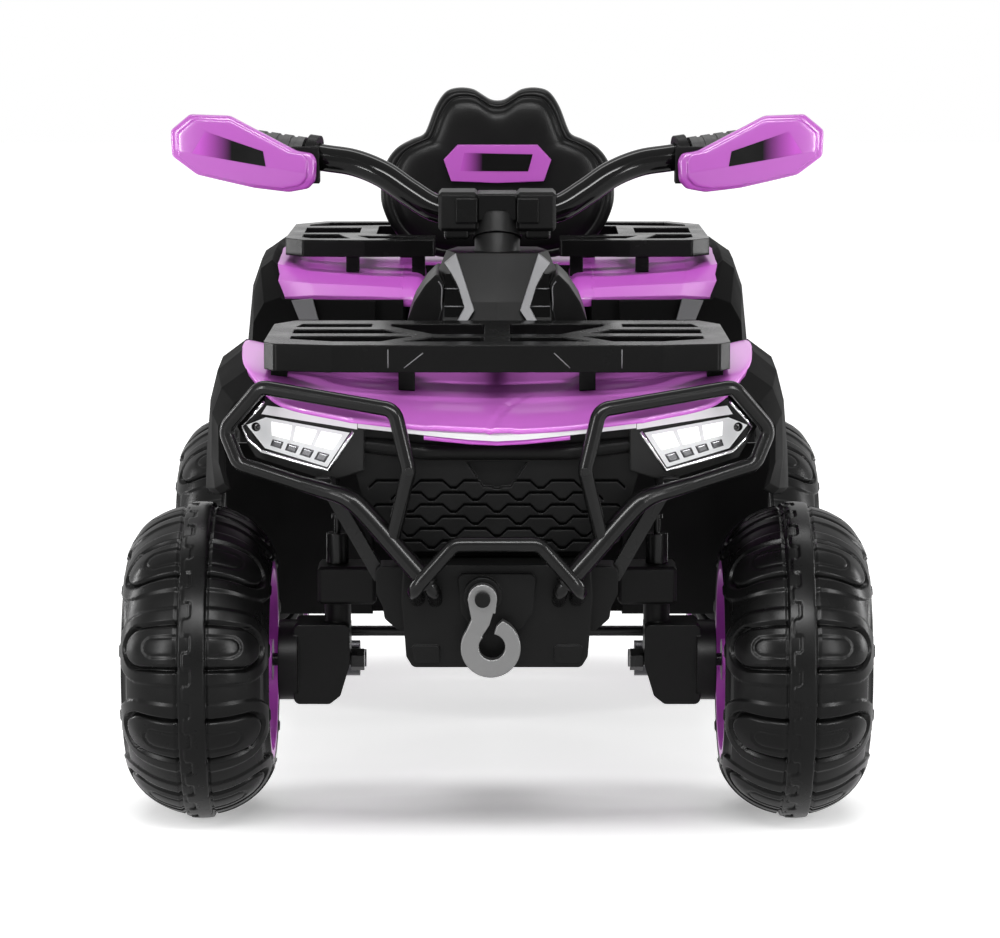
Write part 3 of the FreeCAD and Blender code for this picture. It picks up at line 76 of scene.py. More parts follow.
scene = bpy.context.scene
lens = bpy.data.cameras.new("photo_lens")
lens.sensor_fit = "HORIZONTAL"
lens.sensor_width = SENSOR_MM
lens.lens = FOCAL_PIXELS / PHOTO_WIDTH * SENSOR_MM
lens.clip_end = VIEW_DEPTH
camera = bpy.data.objects.new("camera", lens)
camera.location = CAMERA_PLACE
camera.rotation_euler = (CAMERA_TILT, 0, 0)
scene.collection.objects.link(camera)
scene.camera = camera
scene.view_settings.view_transform = "Standard"
print("camera: focal length", round(lens.lens, 1), "mm")

# %% [markdown]
# The backdrop of a product photo is pure white, yet lighting the quad with a white sky would wash out its
# black plastic. So the world shows white only to rays that come from the camera, or that reflect or pass
# through a surface, and stays a moderate grey for the light that falls on the quad. The floor is pale and
# keeps the soft shadow. Far from the quad it gives off more light of its own, like a paper sweep that curves
# up into the backdrop, so no horizon line shows. Under the nose it glows least, a painted shadow in the
# floor's own glow where the photo's shadow is deepest.

# %% World
WORLD_LIGHT = 0.40

world = bpy.data.worlds.new("studio")
scene.world = world
world.use_nodes = True
tree = world.node_tree
tree.nodes.clear()
out = tree.nodes.new("ShaderNodeOutputWorld")
sky = tree.nodes.new("ShaderNodeBackground")
white = tree.nodes.new("ShaderNodeBackground")
sky.inputs["Strength"].default_value = WORLD_LIGHT
white.inputs["Strength"].default_value = 1.0
for backdrop in (sky, white):
    backdrop.inputs["Color"].default_value = (1, 1, 1, 1)
path = tree.nodes.new("ShaderNodeLightPath")
seen = tree.nodes.new("ShaderNodeMath")
seen.operation = "MAXIMUM"
either = tree.nodes.new("ShaderNodeMath")
either.operation = "MAXIMUM"
mix = tree.nodes.new("ShaderNodeMixShader")
tree.links.new(path.outputs["Is Camera Ray"], seen.inputs[0])
tree.links.new(path.outputs["Is Transmission Ray"], seen.inputs[1])
tree.links.new(seen.outputs[0], either.inputs[0])
tree.links.new(path.outputs["Is Glossy Ray"], either.inputs[1])
tree.links.new(either.outputs[0], mix.inputs["Fac"])
tree.links.new(sky.outputs[0], mix.inputs[1])
tree.links.new(white.outputs[0], mix.inputs[2])
tree.links.new(mix.outputs[0], out.inputs["Surface"])
print("world: white to the camera, grey light of", WORLD_LIGHT)

# %% Floor
FLOOR_HALF = 9.0
PAPER_COLOUR = (0.80, 0.80, 0.80, 1)
PAPER_ROUGH, PAPER_SHINE = 0.8, 0.1
SWEEP_REACH, SWEEP_GLOW = (0.55, 1.9), (0.62, 0.80)
# The SHADE values place a painted shadow: the floor's glow falls to a quarter in a patch under the nose.
SHADE_PLACE, SHADE_REACH = (0.0, -0.29), (0.50, 0.15)
SHADE_SHARE, SHADE_GLOW = (0.25, 1.0), (0.25, 1.0)

floor_mesh = bpy.data.meshes.new("floor")
floor_corners = np.array([[-1, -1, 0], [1, -1, 0], [1, 1, 0], [-1, 1, 0]]) * FLOOR_HALF
floor_mesh.from_pydata(floor_corners.tolist(), [], [(0, 1, 2, 3)])
floor = bpy.data.objects.new("floor", floor_mesh)
scene.collection.objects.link(floor)
paper = bpy.data.materials.new("pale_floor")
paper.use_nodes = True
paper_tree = paper.node_tree
paper_shader = paper_tree.nodes["Principled BSDF"]
paper_shader.inputs["Base Color"].default_value = PAPER_COLOUR
paper_shader.inputs["Roughness"].default_value = PAPER_ROUGH
paper_shader.inputs["Specular IOR Level"].default_value = PAPER_SHINE
paper_shader.inputs["Emission Color"].default_value = (1, 1, 1, 1)
spot = paper_tree.nodes.new("ShaderNodeTexCoord")


def glow_by_distance(vector, span, glow):
    """Map Range node: a smooth step from one glow to another while the vector's length crosses the span."""
    length = paper_tree.nodes.new("ShaderNodeVectorMath")
    length.operation = "LENGTH"
    step = paper_tree.nodes.new("ShaderNodeMapRange")
    step.interpolation_type = "SMOOTHSTEP"
    step.inputs["From Min"].default_value, step.inputs["From Max"].default_value = span
    step.inputs["To Min"].default_value, step.inputs["To Max"].default_value = glow
    paper_tree.links.new(vector, length.inputs[0])
    paper_tree.links.new(length.outputs["Value"], step.inputs["Value"])
    return step.outputs["Result"]


local = paper_tree.nodes.new("ShaderNodeMapping")
local.inputs["Scale"].default_value = (1 / SHADE_REACH[0], 1 / SHADE_REACH[1], 1)
local.inputs["Location"].default_value = (-SHADE_PLACE[0] / SHADE_REACH[0],
                                          -SHADE_PLACE[1] / SHADE_REACH[1], 0)
paper_tree.links.new(spot.outputs["Object"], local.inputs["Vector"])
glow = paper_tree.nodes.new("ShaderNodeMath")
glow.operation = "MULTIPLY"
paper_tree.links.new(glow_by_distance(spot.outputs["Object"], SWEEP_REACH, SWEEP_GLOW), glow.inputs[0])
paper_tree.links.new(glow_by_distance(local.outputs["Vector"], SHADE_SHARE, SHADE_GLOW), glow.inputs[1])
paper_tree.links.new(glow.outputs["Value"], paper_shader.inputs["Emission Strength"])
floor_mesh.materials.append(paper)
print("floor: pale sweep", 2 * FLOOR_HALF, "m across")

# %% [markdown]
# Long narrow soft boxes draw thin bright lines along the tubes and tyre shoulders. One hangs in front over
# the camera, one overhead towards the back so that the shadow falls forwards, two stand at the front corners,
# and two low strips at the sides draw a rim of light round the black tyres. Three more lamps only show in
# reflections: they draw bright lines on black tubes and edges without adding light to any matt colour.


# %% Lamps
def soft_box(name, place, target, size, watts):
    """Rectangular area lamp at a place, turned so that its -Z axis points at the target."""
    data = bpy.data.lights.new(name, "AREA")
    data.shape = "RECTANGLE"
    data.size, data.size_y = size
    data.energy = watts
    lamp = bpy.data.objects.new(name, data)
    lamp.location = place
    aim = np.subtract(target, place)
    flat = math.hypot(aim[0], aim[1])
    lamp.rotation_euler = (math.atan2(flat, -aim[2]), 0, math.atan2(aim[1], aim[0]) - math.pi / 2)
    scene.collection.objects.link(lamp)
    return lamp


SOFT_BOXES = [
    ("front_top", (0, -2.5, 2.4), (0, -0.2, 0.35), (2.4, 0.35), 44),
    ("overhead", (0, 0.7, 2.7), (0, 0, 0.3), (2.6, 0.5), 34),
    ("front_left", (-2.6, -2.2, 1.2), (0, 0, 0.3), (0.3, 1.8), 12),
    ("front_right", (2.6, -2.2, 1.2), (0, 0, 0.3), (0.3, 1.8), 12),
    ("side_left", (-2.4, 0.6, 0.7), (0, 0, 0.25), (0.22, 1.2), 24),
    ("side_right", (2.4, 0.6, 0.7), (0, 0, 0.25), (0.22, 1.2), 24)]
GLEAMS = [
    ("gleam_top", (0, -2.6, 2.2), (0, -0.2, 0.35), (2.6, 0.3), 100),
    ("gleam_left", (-2.2, -2.4, 1.0), (0, 0, 0.3), (0.25, 1.6), 60),
    ("gleam_right", (2.2, -2.4, 1.0), (0, 0, 0.3), (0.25, 1.6), 60)]
for box in SOFT_BOXES:
    soft_box(*box)
for gleam in GLEAMS:
    soft_box(*gleam).visible_diffuse = False
print("lamps:", len(SOFT_BOXES), "soft boxes and", len(GLEAMS), "gleams")

# %% [markdown]
# ## Finishes
#
# Nearly everything on this toy is moulded plastic, and moulded plastic never has knife edges: light always
# catches a small radius. The Bevel node bends the shading normal near edges by tracing a few short rays, so
# each solid gets such a radius without more faces. On top of it a fine noise bump gives the grain of the
# mould, and a second, larger noise lets the gloss vary a little, as on real mouldings.

# %% Moulded finish helper
CLOUD_SCALE, CLOUD_DETAIL, CLOUD_BAND = 22.0, 4.0, (0.3, 0.7)
GRAIN_DETAIL, GRAIN_DEPTH = 3.0, 0.0006
COAT_ROUGH, LEAST_ROUGH = 0.06, 0.02
EDGE_RAYS = 6


def moulded(name, colour, rough, grain=0.0, grain_size=900.0, edge=0.0015, coat=0.0, vary=0.06, metal=0.0,
            shine=0.5):
    """Principled surface: noise varies the gloss about rough, grain is a bump, edge is a radius in metres."""
    material = bpy.data.materials.new(name)
    material.use_nodes = True
    links = material.node_tree.links
    make = material.node_tree.nodes.new
    shader = material.node_tree.nodes["Principled BSDF"]
    shader.inputs["Base Color"].default_value = (*colour, 1)
    shader.inputs["Metallic"].default_value = metal
    shader.inputs["Specular IOR Level"].default_value = shine
    shader.inputs["Coat Weight"].default_value = coat
    shader.inputs["Coat Roughness"].default_value = COAT_ROUGH
    place = make("ShaderNodeTexCoord")
    cloud = make("ShaderNodeTexNoise")
    cloud.inputs["Scale"].default_value = CLOUD_SCALE
    cloud.inputs["Detail"].default_value = CLOUD_DETAIL
    spread = make("ShaderNodeMapRange")
    spread.inputs["From Min"].default_value, spread.inputs["From Max"].default_value = CLOUD_BAND
    spread.inputs["To Min"].default_value = max(rough - vary, LEAST_ROUGH)
    spread.inputs["To Max"].default_value = rough + vary
    links.new(place.outputs["Object"], cloud.inputs["Vector"])
    links.new(cloud.outputs["Fac"], spread.inputs["Value"])
    links.new(spread.outputs["Result"], shader.inputs["Roughness"])
    speck = make("ShaderNodeTexNoise")
    speck.inputs["Scale"].default_value = grain_size
    speck.inputs["Detail"].default_value = GRAIN_DETAIL
    links.new(place.outputs["Object"], speck.inputs["Vector"])
    bump = make("ShaderNodeBump")
    bump.inputs["Strength"].default_value = grain
    bump.inputs["Distance"].default_value = GRAIN_DEPTH
    links.new(speck.outputs["Fac"], bump.inputs["Height"])
    if edge:
        rounding = make("ShaderNodeBevel")
        rounding.samples = EDGE_RAYS
        rounding.inputs["Radius"].default_value = edge
        links.new(rounding.outputs["Normal"], bump.inputs["Normal"])
    links.new(bump.outputs["Normal"], shader.inputs["Normal"])
    return material


def paint(name, material):
    """Gives a node of the frame one finish in place of its own."""
    nodes[name].data.materials.clear()
    nodes[name].data.materials.append(material)


# %% Finishes of the frame
ORCHID = (0.50, 0.095, 0.53)
SOOT = (0.004, 0.004, 0.004)
finish = {
    "tyre": moulded("tyre_black", SOOT, 0.30, grain=0.05, edge=0, shine=0.10),
    "purple_gloss": moulded("orchid_gloss", ORCHID, 0.30, grain=0.02, grain_size=320, edge=0.002, shine=0.35,
                            coat=0.08, vary=0.02),
    "black_plastic": moulded("matt_black", SOOT, 0.40, grain=0.10, edge=0.002, shine=0.09),
    "black_gloss": moulded("satin_black", SOOT, 0.24, grain=0.05, edge=0.002, shine=0.08),
    "black_tube": moulded("tube_black", (0.003, 0.003, 0.003), 0.10, grain=0.01, edge=0, shine=0.14,
                          vary=0.02),
    "grey_tube": moulded("brace_grey", (0.008, 0.008, 0.008), 0.26, grain=0.03, edge=0.001, shine=0.16),
    "silver_trim": moulded("trim_silver", (0.15, 0.15, 0.155), 0.55, metal=0.3, edge=0.001, shine=0.2),
    "steel": moulded("dark_steel", (0.10, 0.10, 0.105), 0.40, metal=0.9, edge=0.001),
    "hook_steel": moulded("hook_steel", (0.14, 0.14, 0.14), 0.38, grain=0.25, grain_size=300, metal=0.85,
                          edge=0.002),
    "motor_can": moulded("motor_can", (0.08, 0.08, 0.085), 0.36, metal=0.9, edge=0.001),
    "grip_rubber": moulded("grip_rubber", (0.014, 0.014, 0.014), 0.55, grain=0.3, edge=0.001),
    "lamp_red": moulded("lamp_red", (0.32, 0.006, 0.008), 0.12, edge=0.002, coat=0.5),
    "button_red": moulded("button_red", (0.45, 0.012, 0.012), 0.25, edge=0.001),
}
for name in nodes:
    if slot_of[name] in finish:
        paint(name, finish[slot_of[name]])
flare_black = moulded("flare_black", (0.006, 0.006, 0.006), 0.62, grain=0.10, edge=0.002, shine=0.02)
bull_black = moulded("bull_black", SOOT, 0.22, grain=0.02, edge=0, shine=0.16, vary=0.02)
for name in ("front_fenders", "rear_fenders", "chassis_tub"):
    paint(name, flare_black)
paint("bull_bar", bull_black)
print("finishes:", len(finish), "set on the frame's nodes")

# %% [markdown]
# ## Tyres
#
# The tyres are hard blow-moulded plastic, and their tread is what one sees first. One pattern repeats ten
# times round the wheel: a fat pillow lug with rounded ends and an oval line pressed into it, then flat bands
# that bend round the lug's ends like ripples. A raised strip with a zipper edge runs round the middle.
# Sculpting it by hand would be slow; a height field is quick: the carcass is a profile spun round the axle,
# and each grid point moves out along the profile's normal by the height of the pattern at that point.


# %% Grid helper
def grid_piece(name, points, wrap_u=False, wrap_v=False, flip=False):
    """Mesh of quads on an (n, m, 3) array of points; a wrapped direction joins its last row to its first.

    A piece that wraps round its path is a tube, so its two open ends are filled.
    """
    n, m = points.shape[:2]
    index = np.arange(n * m).reshape(n, m)
    if wrap_u:
        index = np.vstack([index, index[:1]])
    if wrap_v:
        index = np.hstack([index, index[:, :1]])
    a, b, c, d = index[:-1, :-1], index[1:, :-1], index[1:, 1:], index[:-1, 1:]
    quads = np.stack([a, d, c, b] if flip else [a, b, c, d], axis=-1).reshape(-1, 4)
    mesh = bpy.data.meshes.new(name)
    mesh.vertices.add(n * m)
    mesh.vertices.foreach_set("co", points.reshape(-1).astype(np.float32))
    mesh.loops.add(quads.size)
    mesh.loops.foreach_set("vertex_index", quads.reshape(-1).astype(np.int32))
    mesh.polygons.add(len(quads))
    mesh.polygons.foreach_set("loop_start", np.arange(0, quads.size, 4, dtype=np.int32))
    mesh.polygons.foreach_set("use_smooth", np.ones(len(quads), dtype=bool))
    mesh.update(calc_edges=True)
    if wrap_v:
        shell = bmesh.new()
        shell.from_mesh(mesh)
        bmesh.ops.holes_fill(shell, edges=shell.edges, sides=0)
        bmesh.ops.recalc_face_normals(shell, faces=shell.faces)
        shell.to_mesh(mesh)
        shell.free()
    piece = bpy.data.objects.new(name, mesh)
    scene.collection.objects.link(piece)
    return piece


def dress(piece, material, body, slot, *replaced):
    """Gives a piece its finish and the body it rides on, and hides the nodes it stands for. The slot is not
    used.
    """
    piece.data.materials.append(material)
    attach(piece, body)
    if replaced:
        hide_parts(*replaced)
    return piece


# %% Soft steps
SIDES = (("left", 1), ("right", -1))


def ramp(value, low, high):
    """Smooth step from 0 at low to 1 at high: 3t^2 - 2t^3."""
    t = np.clip((value - low) / (high - low), 0, 1)
    return t * t * (3 - 2 * t)


def groove(distance, half, soft):
    """1 on the line where distance is 0, falling to 0 beyond half + soft."""
    return 1 - ramp(np.abs(distance), half, half + soft)


# %% Carcass
TYRE_CENTRE_R = 0.085
TYRE_RISE = 0.0575
TYRE_HALF = 0.0645
TYRE_REACH = math.radians(80)
PROFILE_STEPS = 900
BEAD_IN, BEAD_R = 0.0565, 0.0935
PATTERN_REPEATS = 10
LUG_PHASE = math.radians(285.7)
ROUND_STEPS = 60 * PATTERN_REPEATS
ACROSS_STEPS = 150


def carcass():
    """Half ellipse x = a sin t, r = c + b cos t, then the bead, in even steps with arc length and normals."""
    turn = np.linspace(0, TYRE_REACH, PROFILE_STEPS)
    x = np.concatenate([TYRE_HALF * np.sin(turn), [TYRE_HALF - 0.0006, BEAD_IN + 0.003, BEAD_IN]])
    r = np.concatenate([TYRE_CENTRE_R + TYRE_RISE * np.cos(turn), [BEAD_R + 0.0012, BEAD_R, BEAD_R]])
    x, r = np.concatenate([-x[:0:-1], x]), np.concatenate([r[:0:-1], r])
    run = np.concatenate([[0], np.cumsum(np.hypot(np.diff(x), np.diff(r)))])
    even = np.linspace(0, run[-1], ACROSS_STEPS)
    x, r = np.interp(even, run, x), np.interp(even, run, r)
    dx, dr = np.gradient(x), np.gradient(r)
    size = np.hypot(dx, dr)
    return x, r, even - run[-1] / 2, np.stack([-dr / size, dx / size])


# %% Tread, all sizes in millimetres
TYRE_R_MM = 150
LUG_HALF, LUG_REACH, LUG_RISE, LUG_CROWN = 22.5, 46.0, 6.4, 1.5
OVAL_HALF, OVAL_REACH, OVAL_DEEP, OVAL_SINK = 9.2, 33.0, 1.3, 0.5
BAND_RISE, BAND_STEP, BAND_WIDE = 6.3, 1.5, 14.6
POCKET_DEEP, POCKET_FROM, POCKET_TO = 3.0, 68, 80
NOTCH_DEEP = 1.8
WALL_FROM, WALL_TO = 83, 91
STRIP_HALF, STRIP_RISE, STRIP_STEP = 11.2, 7.7, 1.2
SEAM_LEFT, SEAM_SWING, SEAM_DEEP = -8.4, 6.8, 1.3
TEETH, GUTTER_OUT, GUTTER_DEEP = 3, 1.4, 1.7


def tread_height(round_mm, across_mm, pitch_mm):
    """Height of the tread in mm.

    The lug is a stadium: distance to a line segment across the tyre, less its half height. The bands lie
    between lines of equal distance from it, so they bend round its ends.
    """
    a = (round_mm / pitch_mm + 0.5) % 1.0 * pitch_mm - pitch_mm / 2
    b = np.abs(across_mm)
    edge = np.hypot(a, np.maximum(b - LUG_REACH, 0)) - LUG_HALF
    lug = LUG_RISE * ramp(-edge, -0.2, 4.2) + LUG_CROWN * ramp(-edge, 2, 20)
    oval = np.hypot(a, np.maximum(b - OVAL_REACH, 0)) - OVAL_HALF
    lug = lug - OVAL_DEEP * groove(oval, 0.4, 1.0) - OVAL_SINK * ramp(-oval, 0, 1.6)
    bands = BAND_RISE * ramp(edge, 0.9, 2.4) - BAND_STEP * ramp(edge, BAND_WIDE, BAND_WIDE + 1.2)
    height = np.where(edge < 0.4, lug, bands)
    pocket = ramp(b, POCKET_FROM, POCKET_FROM + 3) * (1 - ramp(b, POCKET_TO - 3, POCKET_TO))
    pocket = ramp(edge, 15.0, 16.2) * pocket
    notch = groove(b - POCKET_TO, 0.6, 1.4) * ramp(edge, 3, 5)
    height = height - POCKET_DEEP * pocket - NOTCH_DEEP * notch
    return height * (1 - ramp(b, WALL_FROM, WALL_TO))


def strip_height(round_mm, across_mm, pitch_mm, ground):
    """Height with the zipper strip: two flat bands whose shared edge steps to and fro three times a pitch."""
    wave = (round_mm / pitch_mm * TEETH + 0.25) % 1.0
    step = ramp(wave, 0.02, 0.12) - ramp(wave, 0.52, 0.62)
    seam = SEAM_LEFT + SEAM_SWING * step
    b = across_mm
    on = ramp(b, -STRIP_HALF - 0.5, -STRIP_HALF + 0.7) * (1 - ramp(b, STRIP_HALF - 0.7, STRIP_HALF + 0.5))
    top = STRIP_RISE + STRIP_STEP * ramp(b - seam, -0.2, 1.0) - SEAM_DEEP * groove(b - seam, 0.3, 0.9)
    gutter = groove(b + STRIP_HALF + GUTTER_OUT, 0.5, 1.1) + groove(b - STRIP_HALF - GUTTER_OUT, 0.5, 1.1)
    return np.where(on > 0.02, ground * (1 - on) + top * on, ground - GUTTER_DEEP * gutter)


def tyre_points():
    """Grid (round, across, 3) of the tyre about the X axis at the origin, in metres."""
    x, r, across, normal = carcass()
    turn = np.linspace(0, 2 * np.pi, ROUND_STEPS, endpoint=False)
    pitch_mm = 2 * np.pi * TYRE_R_MM / PATTERN_REPEATS
    round_mm = (turn[:, None] - LUG_PHASE) * TYRE_R_MM
    across_mm = across[None, :] * 1000
    height = tread_height(round_mm, across_mm, pitch_mm)
    height = strip_height(round_mm, across_mm, pitch_mm, height) / 1000
    px = x[None, :] + normal[0][None, :] * height
    pr = r[None, :] + normal[1][None, :] * height
    return np.stack([px, pr * np.sin(turn)[:, None], pr * np.cos(turn)[:, None]], axis=-1)


# %% Four tyres
tyre_shape = tyre_points()
reach = np.hypot(tyre_shape[..., 1], tyre_shape[..., 2]).max()
half = np.abs(tyre_shape[..., 0]).max()
print("tyre: radius", round(reach, 4), "half width", round(half, 4))
for end in ("front", "rear"):
    for word in ("left", "right"):
        corner = end + "_" + word
        low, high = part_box("tyre_" + corner)
        middle = (np.array(low) + np.array(high)) / 2
        radius, width = (high[2] - low[2]) / 2, (high[0] - low[0]) / 2
        shape = tyre_shape * np.array([width / half, radius / reach, radius / reach]) + middle
        tyre = grid_piece("tread_" + corner, shape, wrap_u=True)
        dress(tyre, finish["tyre"], "wheel_" + corner, "tyre", "tyre_" + corner)
print("tyres: four of", ROUND_STEPS * (ACROSS_STEPS - 1), "quads")

# %% [markdown]
# ## Hood
#
# The solid hood is a ruled skin between six cross sections, so it shows flat facets. The real one is a smooth
# moulding. A curve through the same section points, taken twice, once across and once along, gives a surface
# that is smooth in both directions and still meets every point of the solid. A bent crease runs down its
# front beside a low raised field, and shallow scoops lie under the rack; all are small changes of the height.


# %% Smooth surface through rows
def through(points, count):
    """Catmull-Rom curve through points along axis 0.

    With s between p1 and p2 it is half of
    2 p1 + (p2 - p0) s + (2 p0 - 5 p1 + 4 p2 - p3) s^2 + (3 p1 - p0 - 3 p2 + p3) s^3.
    """
    ends = np.concatenate([2 * points[:1] - points[1:2], points, 2 * points[-1:] - points[-2:-1]])
    place = np.linspace(0, len(points) - 1, count)
    k = np.minimum(place.astype(int), len(points) - 2)
    s = (place - k).reshape((-1,) + (1,) * (points.ndim - 1))
    p0, p1, p2, p3 = ends[k], ends[k + 1], ends[k + 2], ends[k + 3]
    return 0.5 * (2 * p1 + (p2 - p0) * s + (2 * p0 - 5 * p1 + 4 * p2 - p3) * s ** 2
                  + (3 * p1 - p0 - 3 * p2 + p3) * s ** 3)


def from_line(x, y, a, b):
    """Distance of each point (x, y) from the segment a-b."""
    ax, ay, dx, dy = a[0], a[1], b[0] - a[0], b[1] - a[1]
    t = np.clip(((x - ax) * dx + (y - ay) * dy) / (dx * dx + dy * dy), 0, 1)
    return np.hypot(x - ax - t * dx, y - ay - t * dy)


# %% Hood skin
HOOD_Y = [-0.482, -0.455, -0.410, -0.330, -0.240, -0.188]
HOOD_HALF_MM = [
    [(0, 392.5), (50, 394.5), (95, 399), (118, 402), (131, 403.5)],
    [(0, 405), (55, 407), (110, 412), (160, 415), (196, 414)],
    [(0, 416), (60, 418), (120, 422), (185, 431), (226, 436)],
    [(0, 424), (60, 426), (130, 430), (190, 435), (239, 445)],
    [(0, 428), (60, 430), (130, 433), (195, 437), (239, 446)],
    [(0, 428), (60, 430), (120, 430), (180, 429), (226, 432)]]
HOOD_WALL = 0.005
CREASES_MM = [((28, -415), (12, -440)), ((12, -440), (-6, -482))]
CREASE_DEEP, CREASE_HALF, CREASE_SOFT = 1.6, 0.5, 2.2
FIELD_RISE = 1.3
SCOOP_DEEP, SCOOP_PLACE, SCOOP_REACH = 7.0, (118, -398), (48, 17)


def hood_points(across=121, along=91):
    """Half sections mirrored to whole ones, smoothed across and then along."""
    half = np.array(HOOD_HALF_MM) / 1000
    whole = np.concatenate([half[:, :0:-1] * [-1, 1], half], axis=1)
    depth = np.broadcast_to(np.array(HOOD_Y)[:, None, None], whole[..., :1].shape)
    rows = np.concatenate([whole[..., :1], depth, whole[..., 1:]], axis=-1)
    skin = through(rows, along)
    return through(skin.transpose(1, 0, 2), across)


hood = hood_points()
hx, hy = hood[..., 0] * 1000, hood[..., 1] * 1000
drop = np.zeros_like(hx)
for start, end in CREASES_MM:
    drop = drop + CREASE_DEEP * groove(from_line(hx, hy, start, end), CREASE_HALF, CREASE_SOFT)
field = ramp(hx, -66, -54) * (1 - ramp(hx, 8, 22)) * (1 - ramp(hy, -445, -425))
drop = drop - FIELD_RISE * field
for side in (-1, 1):
    scoop = np.hypot((hx - side * SCOOP_PLACE[0]) / SCOOP_REACH[0], (hy - SCOOP_PLACE[1]) / SCOOP_REACH[1])
    drop = drop + SCOOP_DEEP * (1 - ramp(scoop, 0.35, 1.0))
hood[..., 2] -= drop / 1000
# The hood's orchid is paler than the other purple parts: painted light, standing in for the bright reflection
# on its front slope under the rack.
hood_orchid_painted_light = moulded("hood_orchid_painted_light", (0.60, 0.15, 0.63), 0.24, grain=0.02, grain_size=320, edge=0.002,
                      shine=0.5, coat=0.12, vary=0.02)
hood_skin = dress(grid_piece("hood", hood), hood_orchid_painted_light, "chassis", "purple_gloss", "front_cowl")
wall = hood_skin.modifiers.new("wall", "SOLIDIFY")
wall.thickness = HOOD_WALL
wall.offset = -1
print("hood:", hood.shape[0] * hood.shape[1], "points")

# %% Lip under the light strip
SMILE_MM = [(0, 382), (25, 383.2), (50, 385.6), (75, 388.3), (100, 390.6), (126, 392.6)]
LIP_HALF, LIP_Y, LIP_TALL, LIP_DEEP, LIP_GAP = 0.066, -0.478, 0.0044, 0.016, 0.0002
LIP_GRID = (49, 13)
smile = np.array(SMILE_MM) / 1000
lip_x = np.linspace(-LIP_HALF, LIP_HALF, LIP_GRID[0])
lip_top = np.interp(np.abs(lip_x), smile[:, 0], smile[:, 1]) - LIP_GAP
lip_turn = np.linspace(0, np.pi, LIP_GRID[1])
bulge = LIP_TALL / 2
lip = np.stack([np.broadcast_to(lip_x[:, None], LIP_GRID),
                np.broadcast_to(LIP_Y + bulge - bulge * np.sin(lip_turn)[None, :], LIP_GRID),
                lip_top[:, None] - bulge + bulge * np.cos(lip_turn)[None, :]], axis=-1)
lip_back = np.array([0, LIP_DEEP, 0])
lip = np.concatenate([lip[:, :1] + lip_back, lip, lip[:, -1:] + lip_back], axis=1)
dress(grid_piece("hood_lip", lip, flip=True), finish["purple_gloss"], "chassis", "purple_gloss")
print("lip:", lip.shape[0] * lip.shape[1], "points")

# %% [markdown]
# The rear panel does not stop at the seat's edge: it rolls over towards the cushion on both sides. The roll
# is one cross section carried along the panel's top edge, with a slightly smaller ring at each end to round
# it off.

# %% Rolled edge beside the seat
ROLL_MM = [(107, -0.5), (100, 0.1), (92, 0.2), (85, -0.6), (80.5, -2.6), (77.8, -6), (77, -10), (84, -10),
           (98.4, -10)]
PANEL_TOP_MM = [(106, 450.1), (110, 452), (120, 456.4), (130, 459.5), (140, 461.8), (150, 464), (165, 466.3),
                (200, 467.3), (250, 468.7), (282, 469.6)]
ROLL_Y_MM = [106, 106.6, 108, 112, 118, 125, 135, 145, 155, 165, 180, 200, 225, 250, 280.4, 281]
END_SHARE, TIP_SHARE = 0.94, 0.001
roll_section, panel_top = np.array(ROLL_MM), np.array(PANEL_TOP_MM)
roll_y = np.array([ROLL_Y_MM[0]] + ROLL_Y_MM + [ROLL_Y_MM[-1]])
roll_size = np.ones(len(roll_y))
roll_size[[1, -2]], roll_size[[0, -1]] = END_SHARE, TIP_SHARE
roll_middle = roll_section.mean(axis=0)
roll_rings = roll_middle + (roll_section - roll_middle) * roll_size[:, None, None]
roll_z = roll_rings[..., 1] + np.interp(roll_y, panel_top[:, 0], panel_top[:, 1])[:, None]
roll = np.stack([roll_rings[..., 0], np.broadcast_to(roll_y[:, None], roll_z.shape), roll_z], axis=-1) / 1000
for word, side in SIDES:
    piece = grid_piece("cowl_roll_" + word, roll * [side, 1, 1], wrap_v=True, flip=side < 0)
    dress(piece, finish["purple_gloss"], "chassis", "purple_gloss")
print("rolls:", 2 * roll.shape[0] * roll.shape[1], "points")

# %% [markdown]
# ## Headlights and light strip
#
# Each headlight is a clear cover with three bright cells, a row of four small reflectors below them, a silver
# bezel and a dark round socket at the outer tip. The cover's plane falls back towards the side of the quad. A
# pillow patch, a four-cornered grid that bulges in the middle and dips into the cover at its edges, serves
# for the cells and reflectors alike.


# %% Lamp pieces
def glowing(name, colour, strength, rough=0.25):
    """Plain surface that also gives off a little light of its own."""
    material = bpy.data.materials.new(name)
    material.use_nodes = True
    shader = material.node_tree.nodes["Principled BSDF"]
    shader.inputs["Base Color"].default_value = (*colour, 1)
    shader.inputs["Roughness"].default_value = rough
    shader.inputs["Emission Color"].default_value = (1, 1, 1, 1)
    shader.inputs["Emission Strength"].default_value = strength
    return material


LAMP_X, LAMP_Y, LAMP_FALL = 0.130, -0.455, 0.427


def on_lamp(side, points, lift):
    """Points (x, z) set on the lamp plane y = y0 + fall (x - x0) and lifted off it, in metres."""
    x, z = points[..., 0], points[..., 1]
    return np.stack([side * x, LAMP_Y + (x - LAMP_X) * LAMP_FALL - lift, z], axis=-1)


def bilinear(corners_mm, steps):
    """Shares u, v and the points (1-u)(1-v) a + u (1-v) b + u v c + (1-u) v d between four corners."""
    u, v = np.meshgrid(np.linspace(0, 1, steps), np.linspace(0, 1, steps), indexing="ij")
    a, b, c, d = np.array(corners_mm, float) / 1000
    flat = ((1 - u) * (1 - v))[..., None] * a + (u * (1 - v))[..., None] * b
    return u, v, flat + (u * v)[..., None] * c + ((1 - u) * v)[..., None] * d


def lamp_patch(side, corners_mm, crown, sink=0.001, steps=22):
    """Pillow on the lamp plane: bilinear between four corners, raised away from its edges."""
    u, v, flat = bilinear(corners_mm, steps)
    rim = np.minimum(np.minimum(u, 1 - u) * 2, np.minimum(v, 1 - v) * 2)
    return on_lamp(side, flat, -sink + (crown + sink) * ramp(rim, 0, 0.45))


